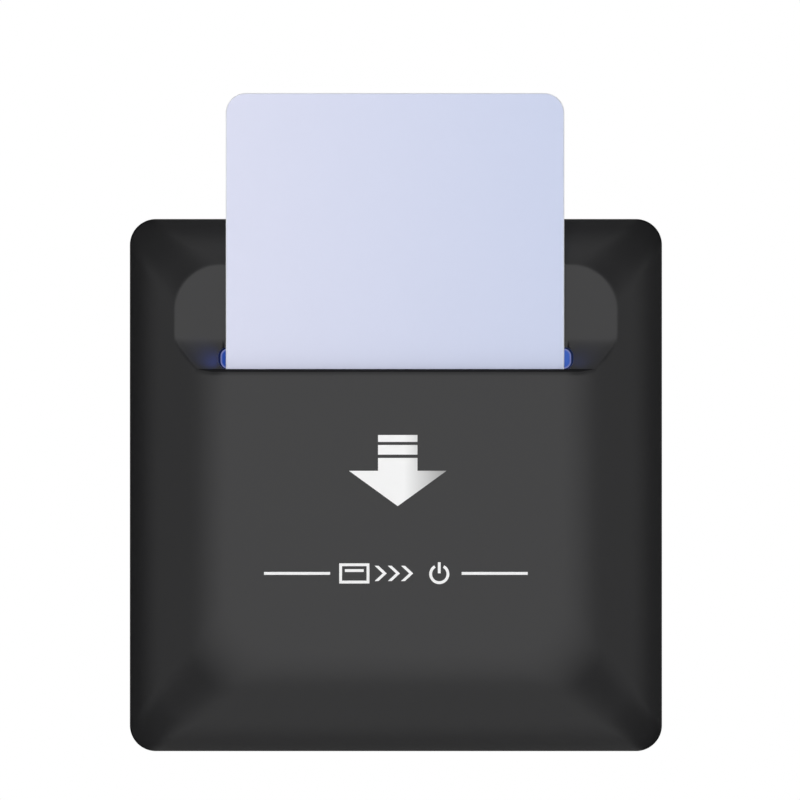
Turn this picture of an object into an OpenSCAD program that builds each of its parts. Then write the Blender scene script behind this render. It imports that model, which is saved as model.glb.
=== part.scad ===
// Hotel key card switch for a square flush wall box.
// The sizes below are drawn with x to the right, y up and z out of the wall, from the centre of
// the two fixing screws on the wall. upright() then turns the finished piece so that +Z is up
// and the front faces -Y.

/* [Face plate] */
// Side of the square face plate
plate_w = 86; // [84:0.5:92]
// Corner radius of the plate's outline
plate_corner_r = 4.2; // [3:0.1:6]
// Height of the front face above the wall
front_h = 14; // [13.5:0.1:16]
// Wall of the moulded cover
cover_wall = 1.9; // [1.6:0.05:2.1]
// Width of the sloping border from the outline to the flat front
border_w = 16.6; // [15.5:0.1:17]
// Steepness of the border where it leaves the rim
edge_angle = 70; // [62:1:76]
// Steepness of the border's long slope
slope_angle = 34; // [32:0.5:36]
// Radius that rounds the rim over into the slope
edge_r = 14; // [12:0.5:15]
// Radius that rounds the slope over into the flat front
brow_r = 12; // [10:0.5:13]
// Corner radius of the flat front
platform_corner_r = 8.8; // [6:0.2:10]

/* [Finger recess and card slot] */
// Depth of the finger recess behind the front face
recess_depth = 3.6; // [3.4:0.05:3.9]
// Height of the pocket's lip above the plate's centre
lip_y = 18.5; // [17:0.5:20]
// Radius of the recess's lower corners
recess_corner_r = 11.8; // [10:0.2:13]
// Half width of the recess where its lower corners begin
recess_half_w = 35.7; // [34.5:0.1:36.4]
// Height above the lip at which the lower corners begin
recess_corner_y = 7.5; // [6.5:0.1:8.5]
// Radius on the lip's front edge
lip_r = 0.6; // [0.3:0.05:0.8]
// Room on each side of the card in the slot
slot_room = 0.4; // [0.3:0.05:0.6]

/* [Key card] */
// Width of the card
card_w = 53.98; // [53:0.02:54.5]
// Length of the card
card_l = 85.6; // [80:0.1:90]
// Thickness of the card
card_t = 0.76; // [0.6:0.02:0.9]
// Corner radius of the card
card_r = 3.18; // [2:0.02:4]
// Length of the card that stands below the lip
card_depth = 41.4; // [39.5:0.1:42]

/* [Light guide] */
// Length of the light bar's face
light_w = 57; // [55.5:0.1:58]
// Height of the light bar's face
light_h = 3.2; // [2.6:0.1:3.6]
// Corner radius of the light bar's face
light_r = 1.2; // [0.6:0.1:1.3]
// Gap between the light bar and its window
light_gap = 0.25; // [0.15:0.05:0.35]
// Flange behind the window
light_flange_t = 1; // [0.8:0.1:1.4]
// Distance of the two lamps from the middle
lamp_x = 20; // [17:0.5:21]

/* [Card shoe and microswitch] */
// Travel of the card shoe
shoe_travel = 3; // [2:0.1:3.2]
// Height of the shoe's bar under the card
shoe_h = 4; // [3.5:0.1:4.4]
// Length of the shoe's bar
shoe_w = 44; // [30:1:50]
// Length of the return spring with the card in
spring_l = 7; // [6:0.1:7.6]
// Outer radius of the return spring
spring_r = 2; // [1.6:0.05:2.1]
// Wire diameter of the return spring
spring_wire = 0.45; // [0.35:0.05:0.55]
// Turns of the return spring
spring_turns = 6; // [4:1:6]
// Length of the microswitch's case
switch_l = 12.8; // [12:0.1:14]
// Height of the microswitch's case
switch_h = 6.5; // [6:0.1:7]
// Reach of the switch lever from its pin to the shoe's finger
lever_reach = 12.3; // [11.8:0.1:13]
// Distance from the lever's pin to the plunger
plunger_reach = 3.3; // [3:0.1:3.6]

/* [Frame and rear housing] */
// Distance between the two fixing screws
screw_pitch = 60.3; // [60:0.1:61]
// Width of a fixing slot
screw_slot_w = 4.4; // [4:0.1:5]
// Length of a fixing slot
screw_slot_l = 8; // [7:0.1:8.4]
// Thickness of the mounting frame
frame_t = 3; // [2.8:0.1:3.4]
// Width of the rear housing
housing_w = 51; // [50:0.2:51.6]
// Height of the rear housing
housing_h = 61; // [60:0.5:63]
// Depth of the rear housing behind the wall's face
housing_depth = 26; // [25.6:0.2:32]
// Wall of the rear housing
housing_wall = 1.8; // [1.5:0.1:2]
// Thickness of the housing's fixing flanges
flange_t = 1.6; // [1.3:0.1:1.8]

/* [Terminals] */
// Distance between neighbouring terminals
terminal_pitch = 12; // [11.6:0.1:12.2]
// Radius of the wire hole in a terminal pillar
wire_r = 2; // [1.5:0.05:2.1]
// Depth of the wire hole
wire_depth = 10; // [8:0.5:10.5]

/* [Hidden] */
$fn = 48;

// Clearances
fit_gap = 0.25;   // between fixed mouldings that drop into each other
run_gap = 0.4;    // between a sliding piece and its guide
touch_gap = 0.12; // between pieces that press on each other
thread_gap = 0.08; // round a screw's thread in its hole
pass_gap = 0.2;   // round a screw's thread in a plain hole
through = 1;      // length by which a cut runs past what it cuts
sink = 0.1;       // depth by which joined forms run into each other

// Facets of the lofted cover
corner_steps = 9;
edge_steps = 7;
brow_steps = 6;

// Border profile, from the rim over the slope to the flat front
half_w = plate_w / 2;
edge_run = edge_r * (sin(edge_angle) - sin(slope_angle));
edge_rise = edge_r * (cos(slope_angle) - cos(edge_angle));
brow_run = brow_r * sin(slope_angle);
brow_rise = brow_r * (1 - cos(slope_angle));
slope_rise = (border_w - edge_run - brow_run) * tan(slope_angle);
rim_h = front_h - edge_rise - slope_rise - brow_rise;
rim_wall = cover_wall * sin(edge_angle);
inner_corner_r = 0.6;
pry_w = 10;
pry_h = 1.4;

// Levels out of the wall
floor_z = front_h - recess_depth;
ceiling_z = front_h - cover_wall;
guide_t = 2;
guide_z = floor_z - guide_t;
card_z = (floor_z + ceiling_z - card_t) / 2;
flange_z = frame_t + flange_t;

// Card channel
lip_in_y = lip_y - cover_wall;
card_y = lip_y - card_depth;
slot_w = card_w + 2 * slot_room;
rail_t = 0.8;
guide_w = slot_w + 2 * rail_t;
guide_top = lip_in_y - fit_gap;
rail_z = ceiling_z - fit_gap;
stop_h = 1.4;
shoe_top = card_y - touch_gap;
shoe_bottom = shoe_top - shoe_h;
guide_bottom = shoe_bottom - run_gap - stop_h;

// Small tapping screws
thread_r = 0.87;
pilot_r = thread_r + thread_gap;
pass_r = thread_r + pass_gap;
screw_head_r = 1.9;
screw_head_h = 1.2;
screw_bite = 2.6;
pilot_spare = 0.4;
pilot_depth = screw_bite + pilot_spare;

// Guide screws outside the channel
boss_r = 1.9;
boss_x = guide_w / 2 + fit_gap + boss_r;
boss_drop = 4.6;
boss_lift = 8.7;
boss_ys = [lip_in_y - boss_drop, guide_bottom + boss_lift];
boss_cap = 0.3;
boss_top = min(ceiling_z, slope_z(half_w - boss_x - boss_r) - cover_wall / 2) + cover_wall / 4;
ear_r = 3;
ear_t = 1.6;
ear_z = boss_top - boss_cap - pilot_depth;

// Shoe's slider behind the guide
web_w = 6;
web_h = 4.4;
slider_w = 10;
slider_t = 3.4;
slider_bar = 1.6;
shoe_chamfer = 1.4;
slider_z1 = guide_z - run_gap;
slider_z0 = slider_z1 - slider_t;
lug_w = 2 * (spring_r + pass_gap);
lug_h = 2;
window_w = lug_w + 2 * run_gap;
window_y0 = shoe_bottom + web_h;
lug_y0 = window_y0 + shoe_travel + run_gap;
spring_y0 = lug_y0 + lug_h;
spring_y1 = spring_y0 + spring_l;
spring_z = slider_z1 - spring_r;
finger_y0 = spring_y1 + slider_bar;
finger_h = 2;
finger_w = 3;
finger_nose = 1;

// Path of the return spring
coil_rings = 8;
coil_sides = 6;
coil_mid_r = spring_r - spring_wire / 2;
coil_y0 = spring_wire / 2 + touch_gap;
coil_pitch = (spring_l - 2 * coil_y0) / spring_turns;
coil_steps = spring_turns * coil_rings;

// Microswitch beside the slider
lever_t = 0.3;
lever_w = 3;
lever_tip = 0.9;
lever_y = finger_y0 - touch_gap - lever_t / 2;
switch_t = 5.8;
switch_end = 1.4;
switch_mid_z = guide_z - switch_t / 2;
pin_r = 0.4;
pin_gap = 0.05;
knuckle_r = 0.85;
finger_x = slider_w / 2 + finger_w - finger_nose;
pin_x = finger_x + lever_reach;
pin_y = lever_y - lever_t / 2 + knuckle_r;
cheek_t = (switch_t - lever_w) / 2 - pass_gap;
switch_x1 = pin_x + switch_end;
switch_x0 = switch_x1 - switch_l;
plunger_x = pin_x - plunger_reach;
plunger_r = 0.8;
plunger_proud = 0.2;
plunger_l = 1.2;
plunger_round = 0.15;
switch_y1 = lever_y - lever_t / 2 - touch_gap - plunger_proud;
switch_y0 = switch_y1 - switch_h;
peg_r = 1;
peg_pitch = 6.5;
peg_lift = 2;
peg_y = switch_y0 + peg_lift;
peg_xs = [for (k = [-1, 1]) (switch_x0 + switch_x1 + k * peg_pitch) / 2];
tab_w = 1;
tab_t = 0.4;
tab_out = 0.8;
tab_inset = 1.6;
tab_knee = 1.2;
tab_y = switch_y0 - tab_out;
tab_xs = [for (k = [0:2]) switch_x0 + tab_inset + k * (switch_l - 2 * tab_inset) / 2];

// Sensor board and lamps
board_t = 1.6;
board_z1 = guide_z - switch_t;
board_z0 = board_z1 - board_t;
board_corner_r = 1;
board_side = 0.7;
board_over = 6;
board_under = 1.5;
board_w = housing_w - 2 * (housing_wall + board_side);
board_y1 = lip_y + board_over;
board_y0 = switch_y0 - board_under;
post_r = 2.4;
post_x = board_w / 2 - post_r - fit_gap;
post_drop = 10.5;
post_y = lip_y - post_drop;
light_y = lip_y + light_gap + light_h / 2;
light_proud = 0.12;
light_edge = 1.2;
stem_w = 5;
lamp_h = 1.8;
lamp_size = [3.5, 2.8];
lamp_r = 1.1;

// Grip springs
grip_x = 13;
grip_y = 4;
grip_w = 5;
grip_t = 0.25;
grip_run = 12;
grip_rise = card_z - touch_gap - guide_z - grip_t;
grip_arc_r = (pow(grip_run / 2, 2) + pow(grip_rise, 2)) / (2 * grip_rise);
grip_foot = sqrt(pow(grip_arc_r + grip_t, 2) - pow(grip_arc_r - grip_rise, 2));
grip_tab = 3.6;
stake_r = 0.7;
stake_h = 0.7;
stake_y = grip_foot + fit_gap + grip_tab / 2;

// Mounting frame
frame_half = half_w - hollow_inset(frame_t) - fit_gap;
frame_r = max(plate_corner_r - rim_wall - fit_gap, 1);
slot_pad = 1.6;
slot_pad_h = 0.8;
relief_size = [6, 16];
relief_r = 2;
relief_inset = 7;
relief_x = frame_half - relief_inset;
relief_y = 22;
catch_x = 22;
catch_w = 10;
catch_t = 1.5;
catch_h = 5;
catch_skin_z = frame_t + catch_h + fit_gap + cover_wall / cos(slope_angle);
catch_inset = edge_run + (catch_skin_z - rim_h - edge_rise) / tan(slope_angle) + catch_t;
catch_y = half_w - catch_inset;
catch_bridge = 1.4;
hook_w = 5.4;
hook_t = 1.4;
hook_reach = 0.8;
nose_h = 1.6;
nose_z1 = frame_t + catch_h - catch_bridge - fit_gap;

// Rear housing
housing_r = 3;
housing_chamfer = 1.5;
label_w = 34;
label_h = 24;
label_r = 1.5;
label_depth = 0.4;
label_y = 8.5;
flange_w = 31;
flange_reach = 5.5;
flange_y = housing_h / 2 + flange_reach;
flange_boss_r = 2.5;
flange_boss_h = 2.6;
flange_screw_x = 11;
flange_screw_out = 2.8;
flange_screw_y = housing_h / 2 + flange_screw_out;
flange_skin_z = slope_z(half_w - flange_screw_y - flange_boss_r) - cover_wall / cos(slope_angle);
flange_boss_z = min(flange_z + flange_boss_h, flange_skin_z - fit_gap);
head_room = 0.4;
head_seat = screw_head_h + head_room;
bay_side = 1;
bay_w = 3 * terminal_pitch + 2 * bay_side;
bay_y = -13.5;
bay_z = -9.8;
bay_wall = 1.5;

// Main board
pcb_t = 1.6;
pcb_seat = 0.3;
pcb_z0 = bay_z + bay_wall + pcb_seat;
pcb_z1 = pcb_z0 + pcb_t;
pcb_w = housing_w - 2 * housing_wall - 2 * fit_gap;
pcb_h = housing_h - 2 * housing_wall - 2 * fit_gap;
pcb_post_r = 2.4;
pcb_post_edge = 0.5;
pcb_post_lift = 4.5;
pcb_post_x = pcb_w / 2 - pcb_post_r - pcb_post_edge;
pcb_post_ys = [pcb_h / 2 - pcb_post_r - pcb_post_edge, bay_y + pcb_post_lift];
pcb_screw_bite = 5;

// Pins between the two boards
header_x = -11;
header_lift = 5.5;
header_y = bay_y + header_lift;
header_count = 5;
header_pitch = 2.54;
header_pin_r = 0.32;
header_hole_r = 0.5;
header_tail = 1;

// Components on the back of the main board
relay_size = [19, 15.5, 15.3];
relay_at = [-9.5, 15];
relay_foot = 0.4;
relay_edge = 0.8;
film_size = [18, 8, 13];
film_at = [10.5, 17.5];
film_edge = 0.6;
can_r = 5;
can_h = 12;
can_at = [14, 6];
disc_r = 5;
disc_t = 3.6;
disc_at = [-16, 1];
disc_lead = 1.6;
chip_size = [9.4, 6.4, 3.3];
chip_at = [0, -3];
chip_foot = 0.5;

// Terminals
fin_t = 1.4;
carrier_base = 1.6;
carrier_inset = 0.6;
pillar_w = 8.4;
pillar_h = 12;
pillar_t = 9;
pillar_r = 0.8;
pillar_play = 0.55;
pillar_y0 = bay_y - fit_gap - carrier_base - pillar_play - pillar_h;
pillar_z1 = bay_z - carrier_base;
pillar_z0 = pillar_z1 - pillar_t;
wire_lift = 0.3;
wire_z = pillar_z1 - pillar_t / 2 + wire_lift;
clamp_r = 1.67;
clamp_y = pillar_y0 + wire_depth / 2;
clamp_head_r = 3;
clamp_head_h = 2.2;
clamp_out = 1.6;
leg_r = 0.7;
leg_tail = 1;
terminal_xs = [-terminal_pitch, 0, terminal_pitch];

// Turns a piece from the wall's drawing frame to +Z up, front towards -Y
module upright() { rotate([90, 0, 0]) children(); }

// Box between two corners
module block(low, high) { translate(low) cube(high - low); }

// Rod along z between two levels
module rod(r, z0, z1) { translate([0, 0, z0]) cylinder(r = r, h = z1 - z0); }

// Outline of a rectangle with round corners
module rounded_rect(w, h, r) {
    square([w - 2 * r, h], center = true);
    square([w, h - 2 * r], center = true);
    for (x = [-1, 1], y = [-1, 1]) translate([x * (w / 2 - r), y * (h / 2 - r)]) circle(r);
}

// Slab with round corners between two levels
module slab(w, h, r, z0, z1) { translate([0, 0, z0]) linear_extrude(z1 - z0) rounded_rect(w, h, r); }

// Slot outline along x with round ends
module stadium(l, w) {
    square([l - w, w], center = true);
    for (x = [-1, 1]) translate([x * (l - w) / 2, 0]) circle(w / 2);
}

// Places its children at x and -x, at each of the heights ys
module at_pairs(x, ys) { for (k = [-x, x], y = ys) translate([k, y, 0]) children(); }

// Pan-head screw, head underside at z = 0, thread towards +z, with a cross recess in its head
module pan_screw(shank_r, length, head_r = screw_head_r, head_h = screw_head_h) {
    wing_l = 0.62 * head_r;
    wing_w = 0.13 * head_r;
    difference() {
        union() {
            rod(shank_r, 0, length);
            rod(head_r, -head_h / 2, 0);
            translate([0, 0, -head_h]) cylinder(r1 = 0.7 * head_r, r2 = head_r, h = head_h / 2);
        }
        for (a = [0, 90]) rotate([0, 0, a])
            block([-wing_l, -wing_w, -head_h - through], [wing_l, wing_w, -0.4 * head_h]);
    }
}

// Border profile as points of distance from the outline, height and steepness
function edge_point(k) =
    let (a = edge_angle + (slope_angle - edge_angle) * k / edge_steps)
    [edge_r * (sin(edge_angle) - sin(a)), rim_h + edge_r * (cos(a) - cos(edge_angle)), a];
function brow_point(k) =
    let (a = slope_angle * (1 - k / brow_steps))
    [border_w - brow_r * sin(a), front_h - brow_r * (1 - cos(a)), a];
border = concat([for (k = [0:edge_steps]) edge_point(k)], [for (k = [0:brow_steps]) brow_point(k)]);

// Height of the long slope at a distance from the outline
function slope_z(s) = rim_h + edge_rise + (s - edge_run) * tan(slope_angle);

// Distance from the outline to the hollow behind the rounded rim, at a height above the wall
function hollow_inset(z) =
    let (r = edge_r - cover_wall, c = (z - rim_h + edge_r * cos(edge_angle)) / r)
    max(rim_wall, edge_r * sin(edge_angle) - r * sqrt(1 - c * c));

// Corner radius of the level line at a distance from the outline, growing fastest at the outline
function level_r(s) = platform_corner_r - (platform_corner_r - plate_corner_r) * pow(1 - s / border_w, 2);

// One level line of the cover: a square with round corners
function ring(half, r, z) = [
    for (q = [0:3], i = [0:corner_steps])
        let (a = 90 * (q + i / corner_steps), c = half - r)
        [(q == 0 || q == 3 ? c : -c) + r * cos(a), (q < 2 ? c : -c) + r * sin(a), z]];

// Closed solid through a stack of rings of points, the first ring at its low end
module ring_loft(rings) {
    n = len(rings[0]);
    m = len(rings);
    sides = [for (k = [0:m - 2], i = [0:n - 1])
        let (a = k * n + i, b = k * n + (i + 1) % n) each [[a, a + n, b], [b, a + n, b + n]]];
    low_end = [for (i = [0:n - 1]) i];
    high_end = [for (i = [n - 1:-1:0]) (m - 1) * n + i];
    polyhedron([for (r = rings) each r], concat([low_end], sides, [high_end]));
}

// Outer skin of the cover, standing on the wall
module cover_skin() {
    ring_loft(concat([ring(half_w, plate_corner_r, 0)],
        [for (p = border) ring(half_w - p[0], level_r(p[0]), p[1])]));
}

// Hollow behind the skin, one wall thickness inside it
module cover_hollow() {
    inner = [for (p = border)
        let (inset = cover_wall * sin(p[2]), drop = cover_wall * cos(p[2]))
        ring(half_w - p[0] - inset, max(level_r(p[0]) - inset, inner_corner_r), p[1] - drop)];
    mouth = [for (p = inner[0]) [p[0], p[1], -through]];
    ring_loft(concat([mouth], inner));
}

// Space that the finger recess takes out of the skin: flat floor, lower corners that flare outwards
module recess_cutter() {
    flare = recess_depth + through;
    intersection() {
        hull() for (x = [-1, 1]) {
            translate([x * (recess_half_w - recess_corner_r), lip_y + recess_corner_y, floor_z])
                cylinder(r1 = recess_corner_r, r2 = recess_corner_r + flare, h = flare);
            translate([x * half_w, half_w, floor_z]) cylinder(r = recess_corner_r, h = flare, $fn = 32);
        }
        block([-plate_w, lip_y, 0], [plate_w, plate_w, 2 * front_h]);
    }
}

// Rounding along the lip's front edge
module lip_round() {
    difference() {
        block([-half_w, lip_y - lip_r, front_h - lip_r], [half_w, lip_y + through, front_h + through]);
        translate([-half_w - through, lip_y - lip_r, front_h - lip_r]) rotate([0, 90, 0])
            cylinder(r = lip_r, h = plate_w + 2 * through);
    }
}

// Clip that snaps into the frame's catch at the upper edge
module cover_hook() {
    y0 = catch_y + catch_t + fit_gap;
    y1 = y0 + hook_t;
    top_z = slope_z(half_w - y1) - cover_wall / 2;
    translate([-hook_w / 2, 0, 0]) {
        block([0, y0, frame_t + run_gap], [hook_w, y1, top_z]);
        translate([0, y0, nose_z1 - nose_h]) rotate([90, 0, 90]) linear_extrude(hook_w)
            polygon([[sink, 0], [sink, nose_h], [-hook_reach, nose_h], [-sink, 0]]);
    }
}

// Shell of the face plate: skin, hollow, finger recess, card slot and light window
module cover_shell() {
    channel_x = guide_w / 2 + fit_gap;
    difference() {
        cover_skin();
        difference() {
            cover_hollow();
            block([-half_w, lip_in_y, guide_z], [half_w, half_w, front_h]);
        }
        recess_cutter();
        lip_round();
        block([-slot_w / 2, lip_in_y - through, floor_z], [slot_w / 2, lip_y + through, ceiling_z]);
        block([-channel_x, guide_bottom - fit_gap, 0], [channel_x, lip_in_y, rail_z + touch_gap]);
        translate([0, light_y, 0]) slab(light_w + 2 * light_gap, light_h + 2 * light_gap,
            light_r + light_gap, guide_z - through, front_h);
        block([-pry_w / 2, -half_w - through, -through], [pry_w / 2, rim_wall + sink - half_w, pry_h]);
    }
}

// Face plate: the shell with its screw bosses, clips and a notch to prise it off
module front_cover() {
    color("#454545") difference() {
        union() {
            cover_shell();
            at_pairs(boss_x, boss_ys) rod(boss_r, ear_z, boss_top);
            for (m = [0, 1]) mirror([0, m, 0]) at_pairs(catch_x, [0]) cover_hook();
        }
        at_pairs(boss_x, boss_ys) rod(pilot_r, ear_z - through, ear_z + pilot_depth);
    }
}

// Lit bar in the recess floor, with its flange and the two stems that reach back to the lamps
module light_guide() {
    flange_z0 = guide_z - light_flange_t;
    stem_z0 = board_z1 + lamp_h + fit_gap;
    color("#3f6fe0") translate([0, light_y, 0]) {
        slab(light_w, light_h, light_r, guide_z - sink, floor_z + light_proud);
        slab(light_w + 2 * light_edge, light_h + 2 * light_edge, light_r + light_edge, flange_z0, guide_z);
        at_pairs(lamp_x, [0]) slab(stem_w, light_h, light_r / 2, stem_z0, flange_z0 + sink);
    }
}

// Rear wall of the card channel, with its rails, end stop, screw ears, spring lug and board posts
module guide_plate() {
    side_x = guide_w / 2 - boss_x;
    block([-guide_w / 2, guide_bottom, guide_z], [guide_w / 2, guide_top, floor_z]);
    block([-guide_w / 2, guide_bottom, guide_z], [guide_w / 2, guide_bottom + stop_h, rail_z]);
    for (m = [0, 1]) mirror([m, 0, 0]) {
        block([slot_w / 2, guide_bottom, guide_z], [guide_w / 2, guide_top, rail_z]);
        for (y = boss_ys) translate([boss_x, y, 0]) {
            rod(ear_r, ear_z - ear_t, ear_z);
            block([side_x - sink, -ear_r, ear_z - ear_t], [0, ear_r, ear_z]);
            block([side_x - ear_r, -ear_r, ear_z - ear_t], [side_x, ear_r, guide_z + sink]);
        }
    }
    block([-lug_w / 2, lug_y0, spring_z - spring_r], [lug_w / 2, spring_y0, guide_z + sink]);
    at_pairs(post_x, [post_y]) rod(post_r, board_z1, guide_z + sink);
    for (x = peg_xs) translate([x, peg_y, 0]) rod(peg_r, board_z1 + fit_gap, guide_z + sink);
    at_pairs(grip_x, [grip_y - stake_y, grip_y + stake_y]) rod(stake_r, guide_z - stake_h, guide_z + sink);
}

// Card guide: the plate with its openings for the shoe's web and the grip springs
module card_guide() {
    grip_half = grip_w / 2 + fit_gap;
    color("#2c2c2e") difference() {
        guide_plate();
        at_pairs(boss_x, boss_ys) rod(pass_r, ear_z - ear_t - through, ear_z + through);
        at_pairs(post_x, [post_y]) rod(pilot_r, board_z1 - through, board_z1 + pilot_depth);
        block([-web_w / 2 - run_gap, shoe_bottom - run_gap, guide_z - sink / 2],
            [web_w / 2 + run_gap, window_y0 + shoe_travel + run_gap, floor_z + through]);
        at_pairs(grip_x, [grip_y])
            block([-grip_half, -grip_foot - fit_gap, guide_z - through],
                [grip_half, grip_foot + fit_gap, floor_z + through]);
    }
}

// Four tapping screws that hold the guide to the cover
module guide_screws() {
    color("silver") at_pairs(boss_x, boss_ys) translate([0, 0, ear_z - ear_t])
        pan_screw(thread_r, ear_t + screw_bite);
}

// Two bowed leaves that press on the back of the card, each staked to the guide at both ends
module grip_leaf() {
    arc_z = guide_z + grip_rise - grip_arc_r;
    reach = stake_y + grip_tab / 2;
    rotate([90, 0, 90]) translate([0, 0, -grip_w / 2]) linear_extrude(grip_w) {
        intersection() {
            translate([0, arc_z]) difference() {
                circle(grip_arc_r + grip_t);
                circle(grip_arc_r);
            }
            translate([-reach, guide_z - grip_t]) square([2 * reach, grip_rise + 2 * grip_t]);
        }
        for (m = [0, 1]) mirror([m, 0])
            translate([grip_foot - grip_t, guide_z - grip_t]) square([reach - grip_foot + grip_t, grip_t]);
    }
}
module grip_springs() {
    color("lightsteelblue") at_pairs(grip_x, [grip_y]) difference() {
        grip_leaf();
        for (y = [-stake_y, stake_y]) translate([0, y, 0])
            rod(stake_r + thread_gap, guide_z - through, guide_z + sink);
    }
}

// Plain room card, standing in the slot
module key_card() {
    color("#d6dcf0") translate([0, card_y + card_l / 2, 0])
        slab(card_w, card_l, card_r, card_z, card_z + card_t);
}

// Shoe that the card stands on, with its slider behind the guide and the finger that works the switch
module card_shoe() {
    color("#8f9398") difference() {
        union() {
            block([-shoe_w / 2, shoe_bottom, floor_z + fit_gap], [shoe_w / 2, shoe_top, rail_z - fit_gap]);
            block([-web_w / 2, shoe_bottom, slider_z0], [web_w / 2, shoe_top, rail_z - fit_gap]);
            block([-slider_w / 2, shoe_bottom, slider_z0], [slider_w / 2, finger_y0 + finger_h, slider_z1]);
            block([0, finger_y0, switch_mid_z - lever_w / 2],
                [slider_w / 2 + finger_w, finger_y0 + finger_h, slider_z1]);
        }
        block([-window_w / 2, window_y0, slider_z0 - through],
            [window_w / 2, spring_y1, slider_z1 + through]);
        for (x = [-1, 1]) translate([x * shoe_w / 2, shoe_bottom, 0]) rotate([0, 0, 45])
            cube([shoe_chamfer, shoe_chamfer, 4 * front_h], center = true);
    }
}

// Return spring: rings of points round a helix, and the least gap between neighbouring turns
function coil_point(k) =
    let (a = 360 * k / coil_rings)
    [coil_mid_r * cos(a), coil_mid_r * sin(a), coil_y0 + coil_pitch * k / coil_rings];
function coil_ring(k) = [for (i = [0:coil_sides - 1])
    let (a = 360 * k / coil_rings, b = -360 * i / coil_sides, r = coil_mid_r + spring_wire / 2 * cos(b))
    [r * cos(a), r * sin(a), coil_point(k)[2] + spring_wire / 2 * sin(b)]];
coil_gap = min([for (k = [0:coil_steps - coil_rings], j = [k + coil_rings - 1:k + coil_rings])
    norm(coil_point(j) - coil_point(k))]) - spring_wire;
echo(least_gap_between_spring_turns = coil_gap);

// Compression spring that lifts the shoe
module shoe_spring() {
    color("gainsboro") translate([0, spring_y0, spring_z]) rotate([-90, 0, 0])
        ring_loft([for (k = [0:coil_steps]) coil_ring(k)]);
}

// Case of the microswitch, with the two cheeks that hold the lever's pin
module microswitch_case() {
    color("#1d1d1f") difference() {
        union() {
            block([switch_x0, switch_y0, board_z1], [switch_x1, switch_y1, guide_z]);
            for (z = [board_z1, guide_z - cheek_t])
                block([pin_x - switch_end, switch_y1 - sink, z], [switch_x1, pin_y + knuckle_r, z + cheek_t]);
        }
        translate([plunger_x, switch_y1 - plunger_l, switch_mid_z]) rotate([-90, 0, 0])
            cylinder(r = plunger_r + pin_gap, h = plunger_l + through);
        translate([pin_x, pin_y, 0]) rod(pin_r + pin_gap / 2, board_z1 - through, guide_z + through);
        for (x = peg_xs) translate([x, peg_y, 0]) rod(peg_r + pin_gap, board_z1 - through, guide_z + through);
    }
}

// Sheet-metal lever with its rolled knuckle round the pin
module switch_lever() {
    color("gainsboro") translate([0, 0, switch_mid_z - lever_w / 2]) linear_extrude(lever_w) difference() {
        union() {
            translate([finger_x - lever_tip, lever_y - lever_t / 2])
                square([lever_reach + lever_tip, lever_t]);
            translate([pin_x, pin_y]) circle(knuckle_r);
        }
        translate([pin_x, pin_y]) circle(pin_r + pin_gap);
    }
}

// Pin of the switch lever
module lever_pin() {
    color("silver") translate([pin_x, pin_y, 0]) rod(pin_r, board_z1 + sink, guide_z - sink);
}

// Button of the microswitch, with a round head
module switch_plunger() {
    neck = plunger_l + plunger_proud - plunger_round - sink;
    color("#b02a20") translate([plunger_x, switch_y1 - plunger_l + sink, switch_mid_z]) rotate([-90, 0, 0]) {
        cylinder(r = plunger_r, h = neck);
        translate([0, 0, neck]) cylinder(r1 = plunger_r, r2 = plunger_r / 2, h = plunger_round);
    }
}

// Three solder tabs that run from the switch into the sensor board
module switch_terminals() {
    knee_z = board_z1 + tab_knee;
    color("goldenrod") for (x = tab_xs) translate([x - tab_w / 2, tab_y, 0]) {
        block([0, -tab_t / 2, board_z0 - header_tail], [tab_w, tab_t / 2, knee_z + tab_t]);
        block([0, -tab_t / 2, knee_z], [tab_w, switch_y0 - tab_y, knee_z + tab_t]);
    }
}

// Sensor board behind the guide
module sensor_board() {
    color("#1f5a3a") difference() {
        translate([0, (board_y0 + board_y1) / 2, 0])
            slab(board_w, board_y1 - board_y0, board_corner_r, board_z0, board_z1);
        at_pairs(post_x, [post_y]) rod(pass_r, board_z0 - through, board_z1 + through);
        for (x = tab_xs) translate([x, tab_y, board_z0 + board_t / 2])
            cube([tab_w + 2 * pass_gap, tab_t + 2 * pass_gap, board_t + 2 * through], center = true);
        header_row(header_hole_r, board_z0 - through, board_z1 + through);
    }
}

// Two screws that hold the sensor board to the guide's posts
module board_screws() {
    color("silver") at_pairs(post_x, [post_y]) translate([0, 0, board_z0])
        pan_screw(thread_r, board_t + screw_bite);
}

// Two blue lamps under the light guide's stems
module indicator_lamps() {
    lens_h = lamp_h / 5;
    color("#cfd8ff") at_pairs(lamp_x, [light_y]) {
        slab(lamp_size[0], lamp_size[1], sink, board_z1, board_z1 + lamp_h - lens_h);
        rod(lamp_r, board_z1 + lamp_h - lens_h - sink, board_z1 + lamp_h);
    }
}

// Row of pins that joins the two boards
module header_row(r, z0, z1) {
    for (k = [0:header_count - 1])
        translate([header_x + (k - (header_count - 1) / 2) * header_pitch, header_y, 0]) rod(r, z0, z1);
}
module board_header() {
    color("#222222") {
        translate([header_x, header_y, 0])
            slab(header_count * header_pitch, header_pitch, sink, pcb_z1, pcb_z1 + header_pitch);
        header_row(header_pin_r, pcb_z0 - header_tail, board_z1 + header_tail);
    }
}

// Wall with a window that a cover clip snaps into
module frame_catch() {
    hole_half = hook_w / 2 + fit_gap;
    difference() {
        block([-catch_w / 2, catch_y, frame_t - sink], [catch_w / 2, catch_y + catch_t, frame_t + catch_h]);
        block([-hole_half, catch_y - through, nose_z1 - nose_h - fit_gap],
            [hole_half, catch_y + catch_t + through, nose_z1 + fit_gap]);
    }
}

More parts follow.
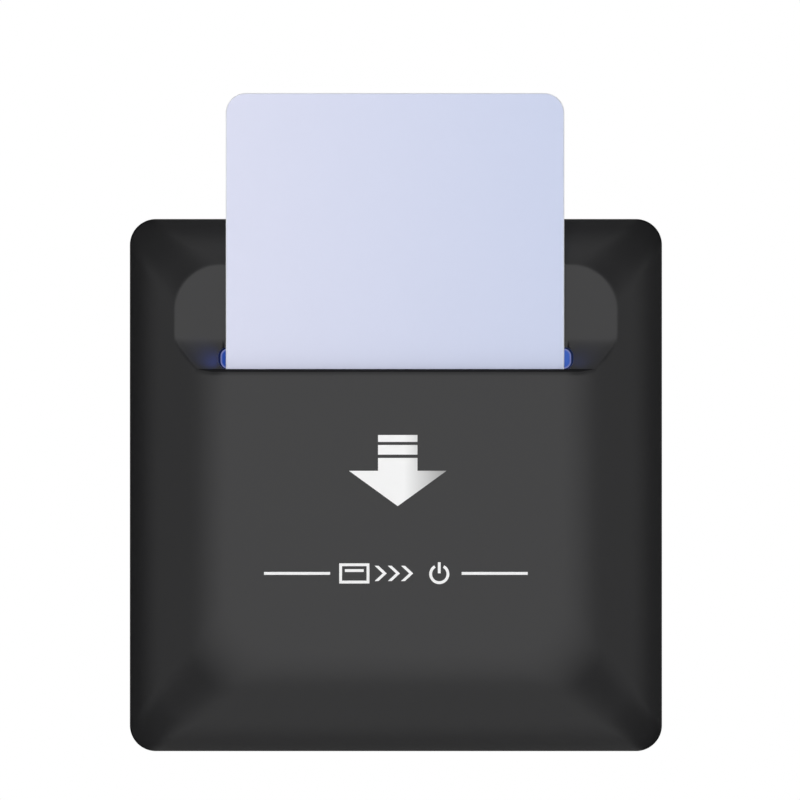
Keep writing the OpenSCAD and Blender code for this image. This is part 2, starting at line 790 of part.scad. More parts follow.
// Plate that the wall screws hold, with slots, catches for the cover and a window for the housing
module mounting_frame() {
    flange_ys = [-flange_screw_y, flange_screw_y];
    color("#303032") {
        difference() {
            union() {
                slab(2 * frame_half, 2 * frame_half, frame_r, 0, frame_t);
                at_pairs(screw_pitch / 2, [0]) linear_extrude(frame_t + slot_pad_h)
                    stadium(screw_slot_l + 2 * slot_pad, screw_slot_w + 2 * slot_pad);
            }
            slab(housing_w + 2 * fit_gap, housing_h + 2 * fit_gap, housing_r + fit_gap, -through, front_h);
            at_pairs(screw_pitch / 2, [0]) translate([0, 0, -through]) linear_extrude(front_h)
                stadium(screw_slot_l, screw_slot_w);
            at_pairs(flange_screw_x, flange_ys) {
                rod(pass_r, -through, frame_t + through);
                rod(screw_head_r + head_room, -through, head_seat);
            }
            at_pairs(relief_x, [-relief_y, relief_y])
                slab(relief_size[0], relief_size[1], relief_r, -through, frame_t + through);
        }
        for (m = [0, 1]) mirror([0, m, 0]) at_pairs(catch_x, [0]) frame_catch();
    }
}

// Four screws through the frame into the housing's flange bosses
module frame_screws() {
    color("silver") at_pairs(flange_screw_x, [-flange_screw_y, flange_screw_y]) translate([0, 0, head_seat])
        pan_screw(thread_r, flange_boss_z - head_seat - head_room);
}

// Outer form of the rear housing, with a chamfer round its back
module housing_form() {
    inset = 2 * housing_chamfer;
    hull() {
        slab(housing_w, housing_h, housing_r, housing_chamfer - housing_depth, flange_z, $fn = 32);
        slab(housing_w - inset, housing_h - inset, housing_r, -housing_depth, flange_z, $fn = 32);
    }
}

// Room for the main board inside the housing, above the terminal bay
module housing_hollow() {
    inner_r = housing_r - housing_wall;
    difference() {
        slab(housing_w - 2 * housing_wall, housing_h - 2 * housing_wall, inner_r,
            housing_wall - housing_depth, flange_z + through);
        block([-bay_w / 2 - bay_wall, -housing_h, -2 * housing_depth],
            [bay_w / 2 + bay_wall, bay_y + bay_wall, bay_z + bay_wall]);
    }
}

// Box in the wall: holds the main board, open at the front, stepped at the back for the terminals
module rear_housing() {
    flange_ys = [-flange_screw_y, flange_screw_y];
    color("#38383b") difference() {
        union() {
            difference() {
                union() {
                    housing_form();
                    block([-flange_w / 2, -flange_y, frame_t], [flange_w / 2, flange_y, flange_z]);
                }
                housing_hollow();
                block([-bay_w / 2, -housing_h, -2 * housing_depth], [bay_w / 2, bay_y, bay_z]);
            }
            at_pairs(pcb_post_x, pcb_post_ys) rod(pcb_post_r, housing_wall / 2 - housing_depth, pcb_z0);
            at_pairs(flange_screw_x, flange_ys) rod(flange_boss_r, frame_t, flange_boss_z);
        }
        at_pairs(pcb_post_x, pcb_post_ys) rod(pilot_r, pcb_z0 - pcb_screw_bite - head_room, pcb_z0 + through);
        at_pairs(flange_screw_x, flange_ys)
            rod(pilot_r, frame_t - through, flange_boss_z + through);
        at_pairs(lamp_x, [light_y]) slab(lamp_size[0] + 2 * fit_gap, lamp_size[1] + 2 * fit_gap,
            fit_gap, board_z1, flange_z + through);
        for (x = terminal_xs) translate([x, clamp_y, 0])
            rod(leg_r + pass_gap, bay_z - through, bay_z + bay_wall + through);
        translate([0, label_y, 0])
            slab(label_w, label_h, label_r, -housing_depth - through, label_depth - housing_depth);
    }
}

// Main board in the rear housing
module main_board() {
    color("#1f5a3a") difference() {
        slab(pcb_w, pcb_h, board_corner_r, pcb_z0, pcb_z1);
        at_pairs(pcb_post_x, pcb_post_ys) rod(pass_r, pcb_z0 - through, pcb_z1 + through);
        header_row(header_hole_r, pcb_z0 - through, pcb_z1 + through);
        for (x = terminal_xs) translate([x, clamp_y, 0])
            rod(leg_r + pass_gap, pcb_z0 - through, pcb_z1 + through);
    }
}

// Four screws that hold the main board to the housing's posts
module main_board_screws() {
    color("silver") at_pairs(pcb_post_x, pcb_post_ys) translate([0, 0, pcb_z1]) rotate([180, 0, 0])
        pan_screw(thread_r, pcb_t + pcb_screw_bite);
}

// Power relay, a sealed case that stands on four small feet
module relay() {
    back_z = pcb_z0 - relay_size[2];
    base_z = pcb_z0 - relay_foot;
    w = relay_size[0];
    h = relay_size[1];
    inset = 2 * relay_edge;
    color("#1a4fa0") translate(relay_at) {
        hull() {
            slab(w, h, relay_edge, back_z + relay_edge, base_z, $fn = 24);
            slab(w - inset, h - inset, relay_edge, back_z, base_z, $fn = 24);
        }
        at_pairs(w / 2 - inset, [inset - h / 2, h / 2 - inset]) rod(relay_edge, base_z - sink, pcb_z0);
    }
}

// Boxed film capacitor of the mains dropper
module film_capacitor() {
    color("#c9a227") translate(film_at)
        slab(film_size[0], film_size[1], film_edge, pcb_z0 - film_size[2], pcb_z0);
}

// Smoothing capacitor, a can with a rolled groove near its foot and a vent cross on its end
module smoothing_capacitor() {
    groove = 0.4;
    foot = 1.2;
    vent = 0.3;
    color("#26324a") translate([can_at[0], can_at[1], pcb_z0]) rotate([180, 0, 0]) difference() {
        rotate_extrude() polygon([[0, 0], [can_r, 0], [can_r, foot], [can_r - groove, foot + groove],
            [can_r, foot + 2 * groove], [can_r, can_h - groove], [can_r - groove, can_h], [0, can_h]]);
        for (a = [0, 90]) rotate([0, 0, a])
            translate([0, 0, can_h]) cube([1.4 * can_r, vent, 2 * vent], center = true);
    }
}

// Disc varistor on its two leads
module varistor() {
    lead_x = disc_r / 2;
    lead_r = 0.4;
    mid_z = pcb_z0 - disc_lead - disc_r;
    color("#2f5fb8") translate(disc_at) {
        translate([0, 0, mid_z]) rotate([90, 0, 0]) cylinder(r = disc_r, h = disc_t, center = true);
        at_pairs(lead_x, [0]) rod(lead_r, mid_z, pcb_z0);
    }
}

// Delay timer in an eight-leg case with a notch at its first leg
module timer_chip() {
    leg = [0.3, 0.35];
    notch_r = 0.9;
    back_z = pcb_z0 - chip_foot - chip_size[2];
    color("#161616") translate(chip_at) {
        difference() {
            slab(chip_size[0], chip_size[1], sink, back_z, pcb_z0 - chip_foot);
            translate([-chip_size[0] / 2, 0, 0]) rod(notch_r, back_z - through, back_z + chip_foot);
        }
        for (k = [0.5, 1.5]) at_pairs(k * header_pitch, [-chip_size[1] / 2, chip_size[1] / 2])
            block([-leg[0], -leg[1], back_z + chip_size[2] / 2], [leg[0], leg[1], pcb_z0]);
    }
}

// Comb that parts the terminals from each other
module terminal_carrier() {
    outer = bay_w / 2 - fit_gap;
    y0 = -housing_h / 2;
    y1 = bay_y - fit_gap;
    z0 = carrier_inset - housing_depth;
    color("#232325") difference() {
        union() {
            block([-outer, y0, pillar_z1], [outer, y1, bay_z]);
            block([-outer, y1 - carrier_base, z0], [outer, y1, bay_z]);
            for (k = [-1.5:1.5]) translate([k * terminal_pitch, 0, 0])
                block([-fin_t / 2, y0, z0], [fin_t / 2, y1, bay_z]);
        }
        for (x = terminal_xs) translate([x, clamp_y, 0])
            rod(leg_r + pass_gap, pillar_z1 - through, bay_z + through);
    }
}

// Three brass pillars: wire hole from below, clamp screw from behind, leg to the main board
module terminal_pillars() {
    color("#c8a24a") for (x = terminal_xs) translate([x, 0, 0]) {
        difference() {
            translate([0, pillar_y0 + pillar_h / 2, 0])
                slab(pillar_w, pillar_h, pillar_r, pillar_z0, pillar_z1);
            translate([0, pillar_y0 - through, wire_z]) rotate([-90, 0, 0])
                cylinder(r = wire_r, h = wire_depth + through);
            translate([0, clamp_y, 0]) rod(clamp_r + thread_gap, pillar_z0 - through, wire_z);
        }
        translate([0, clamp_y, 0]) rod(leg_r, pillar_z1 - sink, pcb_z1 + leg_tail);
    }
}

// Three clamp screws, backed out so that a wire can enter
module terminal_screws() {
    tip_z = wire_z - wire_r - touch_gap;
    head_z = pillar_z0 - clamp_out;
    color("silver") for (x = terminal_xs) translate([x, clamp_y, head_z])
        pan_screw(clamp_r, tip_z - head_z, clamp_head_r, clamp_head_h);
}

upright() front_cover();
upright() light_guide();
upright() card_guide();
upright() guide_screws();
upright() grip_springs();
upright() key_card();
upright() card_shoe();
upright() shoe_spring();
upright() microswitch_case();
upright() switch_lever();
upright() lever_pin();
upright() switch_plunger();
upright() switch_terminals();
upright() sensor_board();
upright() board_screws();
upright() indicator_lamps();
upright() board_header();
upright() mounting_frame();
upright() frame_screws();
upright() rear_housing();
upright() main_board();
upright() main_board_screws();
upright() relay();
upright() film_capacitor();
upright() smoothing_capacitor();
upright() varistor();
upright() timer_chip();
upright() terminal_carrier();
upright() terminal_pillars();
upright() terminal_screws();
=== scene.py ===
"""Looks of a hotel key card switch, built round its packed construction model.

Points are written as (across, up, out): millimetres to the right, up and out of the wall from the
middle of the two fixing screws, and turned to the row frame in metres when a mesh is made.
"""

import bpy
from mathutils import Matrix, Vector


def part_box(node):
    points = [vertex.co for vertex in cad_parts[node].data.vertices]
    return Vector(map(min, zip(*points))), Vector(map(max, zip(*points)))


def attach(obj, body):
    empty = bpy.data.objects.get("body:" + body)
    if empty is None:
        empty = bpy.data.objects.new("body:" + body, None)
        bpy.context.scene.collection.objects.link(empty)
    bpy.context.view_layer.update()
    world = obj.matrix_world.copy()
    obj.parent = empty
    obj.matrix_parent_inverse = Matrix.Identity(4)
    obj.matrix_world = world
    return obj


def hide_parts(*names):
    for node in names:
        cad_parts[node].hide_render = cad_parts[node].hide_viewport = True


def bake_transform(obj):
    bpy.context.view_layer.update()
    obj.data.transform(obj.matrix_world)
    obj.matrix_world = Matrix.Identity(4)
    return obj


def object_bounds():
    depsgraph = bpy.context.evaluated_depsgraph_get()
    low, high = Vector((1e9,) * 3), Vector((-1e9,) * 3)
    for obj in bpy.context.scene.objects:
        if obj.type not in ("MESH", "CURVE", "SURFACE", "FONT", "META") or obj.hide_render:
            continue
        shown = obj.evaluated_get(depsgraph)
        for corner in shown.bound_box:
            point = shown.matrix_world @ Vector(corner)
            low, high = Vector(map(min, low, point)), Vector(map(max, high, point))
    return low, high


bl_info = {
    "name": "Hotel key card switch",
    "version": (1, 0, 0),
    "blender": (4, 5, 0),
    "location": "3D View > Sidebar > Key card switch",
    "description": "Dresses the construction model of a wall-mounted key card switch",
    "category": "Object",
}

from math import ceil, cos, hypot, pi, radians, sin, tan

import bpy
import numpy as np
from bpy.props import FloatProperty, FloatVectorProperty, PointerProperty
from mathutils import Vector

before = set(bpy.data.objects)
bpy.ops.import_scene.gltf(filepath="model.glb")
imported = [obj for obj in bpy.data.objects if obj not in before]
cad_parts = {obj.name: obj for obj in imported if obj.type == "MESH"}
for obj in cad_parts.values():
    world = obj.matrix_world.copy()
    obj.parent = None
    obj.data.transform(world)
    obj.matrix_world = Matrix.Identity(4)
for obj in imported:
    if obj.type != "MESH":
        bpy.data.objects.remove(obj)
CAD_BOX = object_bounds()
MM = 0.001

# Corners of a rectangle, anticlockwise from the upper right, as signs across and up
QUARTERS = ((1, 1), (-1, 1), (-1, -1), (1, -1))
# Decimals of a millimetre to which grid lines are told apart and points are joined
LINE_DIGITS = 6
POINT_DIGITS = 4


def node_size(name):
    """Width across, height up and depth out of a construction node, in millimetres."""
    low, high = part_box(name)
    across, depth, up = (high - low) / MM
    return across, up, depth


def node_low(name):
    """Lowest place of a construction node as across, up and out, in millimetres."""
    low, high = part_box(name)
    return low.x / MM, low.z / MM, -high.y / MM


def linear(code):
    """Linear RGBA of an sRGB hex colour."""
    parts = [int(code[k : k + 2], 16) / 255 for k in (1, 3, 5)]
    return tuple(c / 12.92 if c <= 0.04045 else ((c + 0.055) / 1.055) ** 2.4 for c in parts) + (1.0,)


def per_mm(size):
    """Texture scale that repeats about once in a size in millimetres."""
    return 1 / (size * MM)


def amount(name, default, description, unit="NONE", **more):
    """A number property."""
    return FloatProperty(name=name, description=description, default=default, unit=unit, **more)


def length(name, size, description):
    """A length property, its default given in millimetres."""
    return amount(name, size * MM, description, "LENGTH", precision=5)


def angle(name, degrees, description):
    """An angle property, its default given in degrees."""
    return amount(name, radians(degrees), description, subtype="ANGLE")


def colour(name, code, description):
    """A colour property, its default given as an sRGB hex value."""
    return FloatVectorProperty(
        name=name, description=description, default=linear(code), size=4, subtype="COLOR", min=0, max=1
    )


PLATE = node_size("front_cover")
CARD = node_size("key_card")


class CoverSettings(bpy.types.PropertyGroup):
    """Sizes of the moulded face plate."""

    plate_w: length("Plate width", PLATE[0], "Side of the square face plate")
    front_h: length("Front height", PLATE[2], "Height of the front face above the wall")
    plate_corner_r: length("Plate corner", 4.2, "Corner radius of the plate's outline")
    platform_corner_r: length("Front corner", 8.8, "Corner radius of the flat front")
    wall: length("Wall", 1.9, "Wall of the moulding")
    floor_wall: length("Floor wall", 2, "Wall behind the finger recess")
    border_w: length("Border width", 16.6, "Width of the sloping border")
    edge_angle: angle("Edge angle", 70, "Steepness of the border where it leaves the rim")
    slope_angle: angle("Slope angle", 34, "Steepness of the border's long slope")
    edge_r: length("Edge radius", 14, "Radius that rounds the rim into the slope")
    brow_r: length("Brow radius", 12, "Radius that rounds the slope into the flat front")
    rim_ease: length("Rim ease", 0.25, "Easing of the rim's edge on the wall")
    recess_depth: length("Recess depth", 3.6, "Depth of the finger recess")
    lip_up: length("Lip height", 18.68, "Height of the pocket's lip above the middle of the plate")
    lip_r: length("Lip radius", 1.1, "Radius on the lip's front edge")
    recess_corner_r: length("Recess corner", 11.8, "Radius of the recess's lower corners")
    recess_half_w: length("Recess half width", 35.7, "Half width of the recess at its lower corners")
    recess_corner_up: length("Recess corner height", 7.5, "Height of the lower corners above the lip")
    recess_sweep: length("Recess sweep", 3, "Reach over which the recess floor turns up into its sides")
    foot_reach: length("Foot reach", 5, "Height above the lip at which the recess floor starts to turn up")
    foot_ease: length("Foot ease", 0.3, "Width over which the sweep beside the slot comes up")
    foot_bend: length("Foot bend", 2, "How gently the recess floor turns up beside the slot")
    foot_angle: angle("Foot angle", 31, "Steepness of the recess floor where it meets the lip")
    crease_r: length("Crease", 0.15, "Rounding where the recess meets the border")
    slot_w: length("Slot width", 54.78, "Width of the card slot")
    window_w: length("Window width", 56.7, "Width of the light bar's window")
    window_h: length("Window height", 3.52, "Height of the light bar's window")
    window_r: length("Window corner", 1.45, "Corner radius of the light bar's window")
    notch_w: length("Notch width", 10, "Width of the notch that prises the plate off")
    notch_h: length("Notch height", 1.4, "Height of the notch that prises the plate off")
    plastic: colour("Plastic", "#272728", "Charcoal of the moulded plate")
    # Darker, matt plastic on the lip's rounded edge at the slot: a painted shadow line beside the card
    lip_shadow_plastic: colour("Slot plastic", "#1e1e1f", "Matt black of the slot's mouth")


class FaceSettings(bpy.types.PropertyGroup):
    """Sizes and colours of the card, the light bar and the printed signs."""

    card_r: length("Card corner", 3.18, "Corner radius of the card")
    card_across: length("Card place", -0.13, "How far right the card stands in the play of its slot")
    card_edge: length("Card edge", 0.24, "Rounding of the card's cut edge")
    # The card's colour runs lighter at the left and darker at the right: painted shade, as if lit from the
    # left
    card_left_painted_light: colour("Card, left", "#dcdff3", "Card's colour at its left edge")
    card_right_painted_shade: colour("Card, right", "#cdd5ee", "Card's colour at its right edge")
    # White core on the cut edge, which also serves as a painted highlight along the card's edge
    card_core_and_highlight: colour("Card core", "#f4f6fa", "White core that the card's cut edge shows")
    light_r: length("Light bar corner", 1.2, "Corner radius of the light bar's face")
    light_w: length("Light bar width", 56.0, "Width of the lit bar where it shows in the window")
    light_edge: length("Light bar edge", 0.45, "Rounding of the light bar's face")
    light_left: colour("Light bar, left", "#143c92", "Lit colour of the bar's face at its left end")
    light_right: colour("Light bar, right", "#3358ae", "Lit colour of the bar's face at its right end")
    # Paler glow on the bar's rounded rim: a painted highlight
    light_rim_painted_highlight: colour("Light bar rim", "#767db0", "Lit colour of the bar's rounded rim")
    spill_left: amount("Left spill", 0.0017, "Blue light beside the bar", "POWER")
    spill_right: amount("Right spill", 0.0005, "Blue light beside the bar", "POWER")
    # The foil's colours at its two ends: painted light at the left, painted shade at the right
    print_painted_light: colour("Print, left", "#f9f9f9", "Printed signs at their left end")
    print_painted_shade: colour("Print, right", "#a9a9a9", "Printed signs at their right end")


class StageSettings(bpy.types.PropertyGroup):
    """Camera and light."""

    camera_reach: length("Camera distance", 706.7, "Distance of the camera from the wall")
    camera_across: length("Camera across", 0.66, "Camera's place to the right of the plate's middle")
    camera_up: length("Camera up", 13.75, "Camera's place above the plate's middle")
    lens: amount("Lens", 196.18, "Focal length", "CAMERA")
    floor_gap: length("Floor gap", 22, "Distance from the plate's lower edge to the floor")
    key_power: amount("Lamp power", 5.75, "Power of the front lamp and of the rear lamp", "POWER")
    ambient: amount("Ambient", 0.3, "Level of the light from all round")
    front: amount("Front", 1.02, "Level of the surround before the face")
    sides: amount("Sides", 0.34, "Level of the surround beside the face")
    above: amount("Light from above", 0.09, "Extra level of the upper surround")
    below: amount("Light from below", 0.21, "Extra level of the lower surround")
    right: amount("Light from the right", 0.06, "Extra level of the right surround")
    upper_corners: amount("Upper corners", 2.4, "How dark they are in the surround")
    lower_corners: amount("Lower corners", 1.2, "How dark they are in the surround")


# Meshes


class Shape:
    """Points and faces of one piece, in millimetres as (across, up, out)."""

    def __init__(self):
        self.points = []
        self.faces = []

    def add(self, points):
        """Adds points and gives their numbers."""
        start = len(self.points)
        self.points.extend(tuple(p) for p in points)
        return list(range(start, len(self.points)))

    def strip(self, front, back, closed=True):
        """Faces between two rows of points, the first row towards the front."""
        count = len(front)
        for i in range(count if closed else count - 1):
            j = (i + 1) % count
            self.faces.append((back[i], back[j], front[j], front[i]))

    def stack(self, rings):
        """Closed solid through rings of points, anticlockwise from the front, the front ring first."""
        rows = [self.add(ring) for ring in rings]
        for front, back in zip(rows, rows[1:]):
            self.strip(front, back)
        self.faces.append(tuple(rows[0]))
        self.faces.append(tuple(reversed(rows[-1])))

    def sheet(self, rows, skip, flip=False):
        """Grid of faces through equal rows of points, without the cells that skip names."""
        for r, (low, high) in enumerate(zip(rows, rows[1:])):
            for c in range(len(low) - 1):
                if not skip(r, c):
                    cell = (low[c], low[c + 1], high[c + 1], high[c])
                    self.faces.append(tuple(reversed(cell)) if flip else cell)

    def join(self):
        """Makes points that lie at the same place one point."""
        places = {}
        keys = [tuple(np.round(p, POINT_DIGITS)) for p in self.points]
        first = [places.setdefault(key, number) for number, key in enumerate(keys)]
        joined = (tuple(dict.fromkeys(first[number] for number in face)) for face in self.faces)
        self.faces = [face for face in joined if len(face) > 2]

    def mesh(self, name, sharp=38):
        """The shape as a mesh in the row frame, smooth but for edges sharper than an angle in degrees."""
        made = bpy.data.meshes.new(name)
        used = sorted({number for face in self.faces for number in face})
        renumbered = {number: k for k, number in enumerate(used)}
        turned = [(across * MM, -out * MM, up * MM) for across, up, out in (self.points[n] for n in used)]
        made.from_pydata(turned, [], [[renumbered[number] for number in face] for face in self.faces])
        made.validate()
        made.shade_smooth()
        made.set_sharp_from_angle(angle=radians(sharp))
        return made


def place(name, mesh, material, body="base", stands_for=None):
    """Puts a mesh in the scene as a piece that rides on a body."""
    piece = bpy.data.objects.new(name, mesh)
    bpy.context.scene.collection.objects.link(piece)
    mesh.materials.append(material)
    if body:
        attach(piece, body)
    if stands_for:
        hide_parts(stands_for)
    return piece


def steps(start, stop, step):
    """Evenly spaced values from start to stop, about a step apart."""
    return np.linspace(start, stop, max(2, int(ceil(abs(stop - start) / step)) + 1))


def spaced(needed, others, gap):
    """Sorted values: all that are needed, and others that keep a gap from those."""
    needed = np.unique(np.round(needed, LINE_DIGITS))
    kept = [v for v in np.unique(np.round(others, LINE_DIGITS)) if np.abs(needed - v).min() > gap]
    return np.sort(np.concatenate([needed, kept]))


def round_box(w, h, r, inset=0.0, arc=8, middle=(0.0, 0.0)):
    """Outline of a rectangle with round corners, anticlockwise, as (across, up) pairs."""
    least_r = 0.02
    r = max(r - inset, least_r)
    x, y = w / 2 - inset - r, h / 2 - inset - r
    outline = []
    for quarter, (sx, sy) in enumerate(QUARTERS):
        for k in range(arc + 1):
            a = pi / 2 * (quarter + k / arc)
            outline.append((middle[0] + sx * x + r * cos(a), middle[1] + sy * y + r * sin(a)))
    return outline


def round_slab(shape, w, h, r, back, front, edge, middle=(0.0, 0.0), back_edge=0.0, arc=8):
    """Slab with round corners and rounded front and back edges."""
    flat = 0.2
    turns = np.linspace(0, pi / 2, 5)
    levels = [(edge + flat, front)]
    levels += [(edge * (1 - sin(a)), front - edge * (1 - cos(a))) for a in turns]
    if back_edge:
        levels += [(back_edge * (1 - sin(a)), back + back_edge * (1 - cos(a))) for a in turns[::-1]]
        levels.append((back_edge + flat, back))
    else:
        levels.append((0.0, back))
    shape.stack([[(x, y, out) for x, y in round_box(w, h, r, inset, arc, middle)] for inset, out in levels])


# Materials

# Colour sockets of a mix node: its two inputs and its output
FIRST, SECOND, MIXED = 6, 7, 2


def add_node(tree, kind, links=None, **settings):
    """Adds a shader node with its settings; links gives inputs a value, or a node or an output to follow."""
    made = tree.nodes.new("ShaderNode" + kind)
    for key, value in settings.items():
        setattr(made, key, value)
    for socket, value in (links or {}).items():
        source = value.outputs[0] if isinstance(value, bpy.types.Node) else value
        if isinstance(source, bpy.types.NodeSocket):
            tree.links.new(source, made.inputs[socket])
        else:
            made.inputs[socket].default_value = source
    return made


def new_material(name):
    """An empty node material, with its tree and the place on the object."""
    made = bpy.data.materials.new(name)
    made.use_nodes = True
    tree = made.node_tree
    tree.nodes.clear()
    return made, tree, add_node(tree, "TexCoord").outputs["Object"]


def add_shader(tree, links):
    """The principled shader of a material, joined to its output."""
    add_node(tree, "OutputMaterial", {0: add_node(tree, "BsdfPrincipled", links)})


def surface_grain(tree, where, size, depth, smooth, rough, detail=2.0):
    """Shader links of a grain that varies the roughness and raises the surface, sizes in millimetres."""
    grain = add_node(tree, "TexNoise", {"Vector": where, "Scale": per_mm(size), "Detail": detail})
    links = {"Roughness": add_node(tree, "MapRange", {"Value": grain, "To Min": smooth, "To Max": rough})}
    if depth:
        links["Normal"] = add_node(tree, "Bump", {"Height": grain, "Distance": depth * MM, "Strength": 1.0})
    return links


def across_tint(tree, where, start, end, left, right):
    """Colour that changes from left to right between two places across, in millimetres."""
    across = add_node(tree, "SeparateXYZ", {0: where})
    share = add_node(tree, "MapRange", {"Value": across, "From Min": start * MM, "From Max": end * MM})
    tint = add_node(tree, "Mix", {0: share, FIRST: tuple(left), SECOND: tuple(right)}, data_type="RGBA")
    return tint.outputs[MIXED]


def cloudy_tint(tree, where, size, first, second):
    """Colour that wanders between two tones, in clouds of a size in millimetres."""
    clouds = add_node(tree, "TexNoise", {"Vector": where, "Scale": per_mm(size), "Detail": 2.0})
    return add_node(tree, "Mix", {0: clouds, FIRST: first, SECOND: second}, data_type="RGBA").outputs[MIXED]


def turned_tint(tree, start, end, ahead_tint, aside_tint):
    """Colour that changes as a face turns aside, between two cosines to the front or back."""
    normal = add_node(tree, "NewGeometry").outputs["True Normal"]
    ahead = add_node(tree, "VectorMath", {0: normal, 1: (0.0, -1.0, 0.0)}, operation="DOT_PRODUCT")
    facing = add_node(tree, "Math", {0: ahead.outputs["Value"]}, operation="ABSOLUTE")
    share = add_node(tree, "MapRange", {"Value": facing, "From Min": start, "From Max": end})
    tint = add_node(tree, "Mix", {0: share, FIRST: ahead_tint, SECOND: tuple(aside_tint)}, data_type="RGBA")
    return tint.outputs[MIXED]


def moulded_plastic(name, base, roughness, grain, depth, mottle, sheen=0.5):
    """Injection-moulded plastic.

    The eye sees an even colour with a faint flow mottle, and a fine grain from the spark-eroded
    mould that breaks up the sheen. Grain and depth are in millimetres, and the grain is drawn a few
    times coarser than the real one, so that it shows.
    """
    made, tree, where = new_material(name)
    flow = add_node(tree, "TexNoise", {"Vector": where, "Scale": per_mm(14), "Detail": 3.0})
    shade = add_node(tree, "MapRange", {"Value": flow, "To Min": 1 - mottle, "To Max": 1 + mottle})
    tint = add_node(tree, "VectorMath", {0: base[:3], "Scale": shade}, operation="SCALE")
    links = surface_grain(tree, where, grain, depth, roughness * 0.9, roughness * 1.1)
    add_shader(tree, {"Base Color": tint, "IOR": 1.53, "Specular IOR Level": sheen, **links})
    return made


def finished_metal(name, base, roughness, grain, stretch, depth, stain=None):
    """Bare or plated metal.

    The eye sees fine tool lines drawn out along one axis, and faint clouds of a stain or of a darker
    tone. The lines are drawn several times coarser than real ones, so that they show.
    """
    made, tree, where = new_material(name)
    tint = cloudy_tint(tree, where, 2.5, base, stain or tuple(0.82 * c for c in base[:3]) + (1.0,))
    drawn = add_node(tree, "Mapping", {"Vector": where, "Scale": stretch})
    links = surface_grain(tree, drawn, grain, depth, roughness * 0.75, roughness * 1.25, detail=3.0)
    add_shader(tree, {"Base Color": tint, "Metallic": 1.0, **links})
    return made


def laminated_card(settings):
    """Laminated PVC card, satin: a pale print with painted shade, lighter at the left and darker and cooler
    to the right as if lit from the left, and the white core at its cut edge, which also paints a highlight
    along the edge.
    """
    made, tree, where = new_material("laminated_pvc_satin")
    # Painted shade across the card: lighter at the left, darker to the right
    face = across_tint(tree, where, -CARD[0] / 2, CARD[0] / 2, settings.card_left_painted_light, settings.card_right_painted_shade)
    # Faces that turn aside get the white core, which also paints a highlight on the rounded edge
    tint = turned_tint(tree, 0.95, 0.75, face, settings.card_core_and_highlight)
    # The film's faint orange peel
    links = surface_grain(tree, where, size=1.6, depth=0.004, smooth=0.3, rough=0.38)
    add_shader(tree, {"Base Color": tint, "IOR": 1.53, **links})
    return made


def lit_acrylic(settings):
    """Moulded acrylic light guide, frosted: glows blue from the lamps behind it, and a painted highlight
    makes its round rim paler.
    """
    made, tree, where = new_material("moulded_acrylic_lit_blue")
    # The glow comes up towards the bar's face, between these heights out of the wall
    dark_out, lit_out = 8.26, 9.4
    in_depth = add_node(tree, "SeparateXYZ", {0: where}).outputs[1]
    ramp = {"Value": in_depth, "From Min": -dark_out * MM, "From Max": -lit_out * MM}
    haze = add_node(tree, "TexNoise", {"Vector": where, "Scale": per_mm(1.8), "Detail": 2.0})
    uneven = add_node(tree, "MapRange", {"Value": haze, "To Min": 0.75, "To Max": 1.25})
    front = add_node(tree, "MapRange", ramp)
    strength = add_node(tree, "Math", {0: uneven, 1: front}, operation="MULTIPLY")
    half = settings.light_w / 2 / MM
    face = across_tint(tree, where, -half, half, settings.light_left, settings.light_right)
    # The rim that turns aside gets a paler glow: a painted highlight
    tint = turned_tint(tree, 0.99, 0.7, face, settings.light_rim_painted_highlight)
    body = {"Base Color": linear("#060c24"), "Roughness": 0.4, "IOR": 1.49, "Specular IOR Level": 0.25}
    add_shader(tree, {**body, "Emission Color": tint, "Emission Strength": strength})
    return made


def stamped_foil(settings, half_w):
    """Hot-stamped silver-white foil, with painted light and shade: bright to its middle and shading to grey
    at the right, as if lit from the left.

    Its fine grain is drawn coarser than the real one, so that it shows.
    """
    made, tree, where = new_material("hot_stamped_silver_foil")
    # Painted light and shade across the foil: bright at the left, grey at the right
    start, end = 0.17 * half_w, 0.93 * half_w
    tint = across_tint(tree, where, start, end, settings.print_painted_light, settings.print_painted_shade)
    links = surface_grain(tree, where, size=0.3, depth=None, smooth=0.32, rough=0.42)
    add_shader(tree, {"Base Color": tint, "IOR": 1.5, **links})
    return made


def printed_ink():
    """Pad-printed white ink: dense and matt, with a slight unevenness in the layer."""
    made, tree, where = new_material("pad_printed_white_ink")
    tint = cloudy_tint(tree, where, 0.5, linear("#ffffff"), linear("#f0f0f0"))
    add_shader(tree, {"Base Color": tint, "Roughness": 0.5, "IOR": 1.5})
    return made


def solder_mask():
    """Glass-epoxy board under green solder mask: a fine weave, and paler tracks where copper lies below.

    The weave is drawn at about a millimetre, twice the real one's size, so that it shows.
    """
    made, tree, where = new_material("glass_epoxy_solder_mask")
    flat = add_node(tree, "Mapping", {"Vector": where, "Rotation": (radians(90), 0.0, 0.0)})
    # Widths and heights of the tracks are in millimetres, the pitch that of the components' legs
    rows = {"Vector": flat, "Scale": per_mm(1), "Brick Width": 23.0, "Row Height": 1.27}
    rows.update({"Mortar Size": 0.2, "Mortar Smooth": 0.3, "Mortar": linear("#174329")})
    rows.update({"Color1": linear("#22623c"), "Color2": linear("#194a2e")})
    shift = {"offset": 0.37, "offset_frequency": 3, "squash": 2.3, "squash_frequency": 4}
    tracks = add_node(tree, "TexBrick", rows, **shift)
    threads = {"Vector": flat, "Scale": per_mm(3.0), "Distortion": 0.6}
    weave = add_node(tree, "TexWave", threads, bands_direction="DIAGONAL").outputs["Fac"]
    relief = add_node(tree, "Bump", {"Height": weave, "Distance": 0.01 * MM, "Strength": 1.0})
    add_shader(tree, {"Base Color": tracks, "Roughness": 0.28, "IOR": 1.5, "Normal": relief})
    return made


